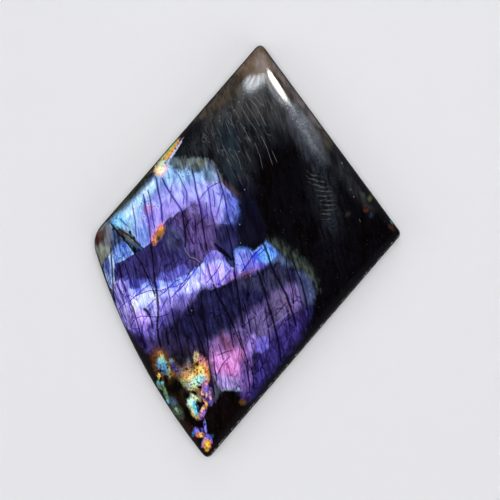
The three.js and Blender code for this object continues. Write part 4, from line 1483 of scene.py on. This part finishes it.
# %% Girdle and back
BODY_DARK, BODY_LIGHT = (12, 12, 16), (34, 34, 40)
BODY_BELOW, FACE_ABOVE = 2.6 * MM, 3.0 * MM
GROUND_BACK_DARK, GROUND_BACK_LIGHT = (46, 46, 52), (78, 78, 84)
BACK_BELOW, GIRDLE_ABOVE = 0.05 * MM, 0.35 * MM
POLISHED, EXTRA_AT_BACK = 0.08, 0.5
body_grain = n.step(grain(LEAN, 0.6, 2.0, 3.0, 0.6), 0.3, 0.7)
body_tone = n.mix(body_grain, linear(BODY_DARK), linear(BODY_LIGHT))
colour = n.mix(n.step(height, BODY_BELOW, FACE_ABOVE, 0.94, 0.0), colour, body_tone)
ground_grain = n.step(grain(0.3, 0.25, 1.6, 3.0, 0.7), 0.3, 0.7)
ground_tone = n.mix(ground_grain, linear(GROUND_BACK_DARK), linear(GROUND_BACK_LIGHT))
ground = n.step(height, BACK_BELOW, GIRDLE_ABOVE, 1.0, 0.0)
colour = n.mix(ground, colour, ground_tone)
skin_roughness = n.math("MULTIPLY_ADD", ground, EXTRA_AT_BACK, POLISHED)
tell("the back")

# %% [markdown]
# The polish is the stone's own surface. Labradorite bends light about as much as dense glass, so the
# surface gets an index of 1.56 and very little roughness. A slight bump, far too small to change the
# shape, keeps the reflections from being as perfect as a mirror's.

# %% Finish the stone's material
STONE_IOR, SPECULAR_LEVEL = 1.56, 0.35
PEEL_SIZE, PEEL_STRENGTH, PEEL_DEPTH = 0.3, 0.12, 0.02 * MM
peel = grain(0, PEEL_SIZE, PEEL_SIZE)
orange_peel = n.add("ShaderNodeBump", {"Strength": PEEL_STRENGTH, "Distance": PEEL_DEPTH, "Height": peel})
shader = n.add("ShaderNodeBsdfPrincipled", {
    "Base Color": colour,
    "Roughness": skin_roughness,
    "IOR": STONE_IOR,
    "Specular IOR Level": SPECULAR_LEVEL,
    "Normal": orange_peel,
})
n.add("ShaderNodeOutputMaterial", {"Surface": shader})
mesh.materials.append(material)
print("nodes", len(material.node_tree.nodes))

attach(stone, "root")
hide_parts("labradorite_stone")

# %% [markdown]
# The floor is a plain pale sheet. It only has to catch a soft shadow.

# %% Floor
FLOOR_HALF, FLOOR_COLOUR, FLOOR_ROUGHNESS = 0.6, (214, 214, 217), 0.7
floor_corners = [(x * FLOOR_HALF, y * FLOOR_HALF, 0) for x, y in ((-1, -1), (1, -1), (1, 1), (-1, 1))]
floor_mesh = bpy.data.meshes.new("floor")
floor_mesh.from_pydata(floor_corners, [], [(0, 1, 2, 3)])
floor = bpy.data.objects.new("floor", floor_mesh)
bpy.context.scene.collection.objects.link(floor)
floor_material = bpy.data.materials.new("pale_floor")
floor_material.use_nodes = True
floor_shader = floor_material.node_tree.nodes["Principled BSDF"]
floor_shader.inputs["Base Color"].default_value = linear(FLOOR_COLOUR)
floor_shader.inputs["Roughness"].default_value = FLOOR_ROUGHNESS
floor_mesh.materials.append(floor_material)
floor.visible_glossy = False
print("floor", 2 * FLOOR_HALF, "m wide")

# %% [markdown]
# The camera looks straight down, turned a little because the stone's long axis leans in the photograph.
# Its height follows from the lens and from the width that the picture spans at the girdle.

# %% Camera
camera_data = bpy.data.cameras.new("camera")
camera_data.lens, camera_data.sensor_width = LENS, SENSOR
camera = bpy.data.objects.new("camera", camera_data)
camera.location = (*(VIEW_CENTRE * METRES), (CAMERA_HEIGHT + BEVEL) * METRES)
camera.rotation_euler = (0, 0, VIEW_TILT)
camera_data.clip_start, camera_data.clip_end = 0.01, 10
bpy.context.scene.collection.objects.link(camera)
bpy.context.scene.camera = camera
bpy.context.scene.view_settings.view_transform = "Standard"
print("camera", round(camera.location.z * 1000), "mm above the back")

# %% [markdown]
# A polished face shows whatever stands where it mirrors the camera, so a highlight is a picture of its
# light. To get the highlights of the photograph, each light's outline is worked out backwards: every
# point of the highlight's outline is taken on the face, the line of sight is mirrored there, and the
# mirrored line is followed to a plane some way off. The points that it meets are the rim of a glowing
# panel. The panels are seen in reflections alone. They cast no light of their own on the stone and don't
# show in the picture.

# %% Highlight panels
RIM_POINTS, LIGHT_DISTANCE = 40, 0.7
SLOPE_REACH = 0.05
CLOUD_DIMMEST, CLOUD_BRIGHTEST = 0.4, 1.5
WHITE, PALE_BLUE = (1.0, 1.0, 1.0), (0.86, 0.93, 1.0)


def mirrored_ray(pixel):
    """The point of the face under a photo pixel, in metres, and the mirrored line of sight there."""
    spot = on_stone([pixel])[0]
    reaches = np.eye(2) * SLOPE_REACH
    rises = [face_height(spot + reach) - face_height(spot - reach) for reach in reaches]
    normal = unit(np.array([*(-rise / (2 * SLOPE_REACH) for rise in rises), 1.0]))
    surface = np.array([*spot, face_height(spot)]) * METRES
    sight = unit(np.array(camera.location) - surface)
    return surface, 2 * (normal @ sight) * normal - sight


def panel_material(name, radiance, tint, cloud_size):
    """Light that fades with the glow stored on the panel and is clouded at a size in metres."""
    made = bpy.data.materials.new(name)
    made.use_nodes = True
    made.node_tree.nodes.clear()
    p = Nodes(made.node_tree)
    spot = p.add("ShaderNodeTexCoord", {}, output="Object")
    clouding = p.noise(p.sized(spot, 0, (cloud_size,) * 3), 2.0, 0.6)
    cloud = p.step(clouding, 0.34, 0.66, CLOUD_DIMMEST, CLOUD_BRIGHTEST)
    strength = p.times(p.times(p.field("glow"), cloud), radiance)
    emission = p.add("ShaderNodeEmission", {"Color": (*tint, 1), "Strength": strength})
    p.add("ShaderNodeOutputMaterial", {"Surface": emission})
    return made


def shaped_light(name, outline, radiance, tint, core, cloud_size):
    """A panel whose reflection fills an outline: full inside the core share of it, nothing at its rim."""
    corners = np.array(outline, dtype=float)
    rim_pixels = spaced(np.vstack([corners, corners[:1]]), np.linspace(0, 1, RIM_POINTS + 1))[:-1]
    middle_pixel = corners.mean(axis=0)
    core_pixels = middle_pixel + core * (rim_pixels - middle_pixel)
    base, aim = mirrored_ray(middle_pixel)
    spots = []
    for pixel in np.vstack([rim_pixels, core_pixels, [middle_pixel]]):
        surface, ray = mirrored_ray(pixel)
        spots.append(surface + ray * ((base + aim * LIGHT_DISTANCE - surface) @ aim) / (ray @ aim))
    order = np.arange(2 * RIM_POINTS).reshape(2, RIM_POINTS)
    order = np.column_stack([order, order[:, 0]])
    inner = [(a, b, 2 * RIM_POINTS) for a, b in zip(order[1, :-1].tolist(), order[1, 1:].tolist())]
    panel_mesh = bpy.data.meshes.new(name)
    panel_mesh.from_pydata(spots, [], grid_quads(order).tolist() + inner)
    glow = panel_mesh.attributes.new("glow", "FLOAT", "POINT")
    glow.data.foreach_set("value", np.repeat([0.0, 1.0], [RIM_POINTS, RIM_POINTS + 1]).astype(np.float32))
    panel_mesh.materials.append(panel_material(name, radiance, tint, cloud_size))
    panel = bpy.data.objects.new(name, panel_mesh)
    panel.visible_camera = panel.visible_diffuse = panel.visible_shadow = False
    bpy.context.scene.collection.objects.link(panel)
    print(name, "at elevation", round(math.degrees(math.asin(aim[2]))))


# %% [markdown]
# The window is the hard bright streak beside the top corner, and its skirt is the glow below it. The
# cloud is the soft patch to its left. The haze is a faint veil down the right shoulder.

# %% Hang the highlight panels
WINDOW = ((267.5, 70.5), (270.5, 70.5), (277, 80), (284, 91), (288, 98.5), (287, 100.5), (283.5, 100),
          (275.5, 90), (270, 81.5), (267.5, 76))
WINDOW_SKIRT = ((264, 75), (269, 80), (275, 90), (283, 100), (288, 106), (282, 105), (273, 97), (267, 87))
CLOUD = ((241.5, 81), (245, 77), (250, 75.5), (256, 75), (262, 72.5), (267.5, 73.5), (269, 79), (265.5, 84),
         (259.5, 86), (254.5, 89.5), (248, 91.5), (243, 87.5))
HAZE = ((284, 98), (291, 98), (302, 108), (316, 126), (328, 152), (326, 166), (314, 156), (302, 140),
        (293, 124), (286, 110))
shaped_light("window", WINDOW, radiance=40.0, tint=WHITE, core=0.9, cloud_size=0.2)
shaped_light("window_skirt", WINDOW_SKIRT, radiance=9.0, tint=PALE_BLUE, core=0.6, cloud_size=0.03)
shaped_light("cloud", CLOUD, radiance=21.0, tint=PALE_BLUE, core=0.72, cloud_size=0.035)
shaped_light("haze", HAZE, radiance=2.2, tint=PALE_BLUE, core=0.5, cloud_size=0.02)

# %% [markdown]
# The rest of the light is a wide soft box overhead and three at the sides. A photographer would shield
# the stone from their reflections with a polariser. Here they are simply hidden from glossy rays.

# %% Fill light
FILL_DISTANCE = 0.8
OVERHEAD_SIZE, OVERHEAD_ELEVATION, OVERHEAD_RADIANCE = (0.7, 0.7), 89, 4.0
SIDE_SIZE, SIDE_ELEVATION, SIDE_RADIANCE = (0.7, 0.4), 30, 2.0
SIDE_AZIMUTHS = (95, 200, 320)


def facing(location):
    """The turn that makes a lamp's face look at the origin, with its width level."""
    away = Vector(location)
    level = Vector((-away.y, away.x, 0)).normalized()
    upright = away.normalized().cross(level)
    return Matrix((level, upright, away.normalized())).transposed().to_euler()


def fill_light(azimuth, elevation, size, radiance):
    """A soft box at an angle from +X and an angle above the floor: power = radiance * pi * area."""
    a, e = math.radians(azimuth), math.radians(elevation)
    light = bpy.data.lights.new("fill", "AREA")
    light.shape, light.size, light.size_y = "RECTANGLE", *size
    light.energy = radiance * math.pi * size[0] * size[1]
    lamp = bpy.data.objects.new("fill", light)
    direction = np.array([math.cos(e) * math.cos(a), math.cos(e) * math.sin(a), math.sin(e)])
    lamp.location = FILL_DISTANCE * direction
    lamp.rotation_euler = facing(lamp.location)
    lamp.visible_glossy = False
    bpy.context.scene.collection.objects.link(lamp)
    print("fill at", azimuth, elevation, "of", round(light.energy, 2), "W")


fill_light(0, OVERHEAD_ELEVATION, OVERHEAD_SIZE, OVERHEAD_RADIANCE)
for azimuth in SIDE_AZIMUTHS:
    fill_light(azimuth, SIDE_ELEVATION, SIDE_SIZE, SIDE_RADIANCE)

# %% [markdown]
# The sky is nearly black overhead, because a polished face shows the camera whatever is above it: a
# bright ceiling would lay grey over the black stone.

# %% Sky
HORIZON, ZENITH = (0.08, 0.08, 0.09, 1), (0.01, 0.01, 0.012, 1)
DARKER_FROM, DARKEST_FROM = 0.1, 0.7
world = bpy.data.worlds.new("studio")
bpy.context.scene.world = world
world.use_nodes = True
w = Nodes(world.node_tree)
world.node_tree.nodes.clear()
direction = w.add("ShaderNodeTexCoord", {}, output="Generated")
up = w.add("ShaderNodeSeparateXYZ", {0: direction}, output=2)
sky = w.mix(w.step(up, DARKER_FROM, DARKEST_FROM), HORIZON, ZENITH)
background = w.add("ShaderNodeBackground", {"Color": sky, "Strength": 1.0})
w.add("ShaderNodeOutputWorld", {"Surface": background})
print("sky nodes", len(world.node_tree.nodes))
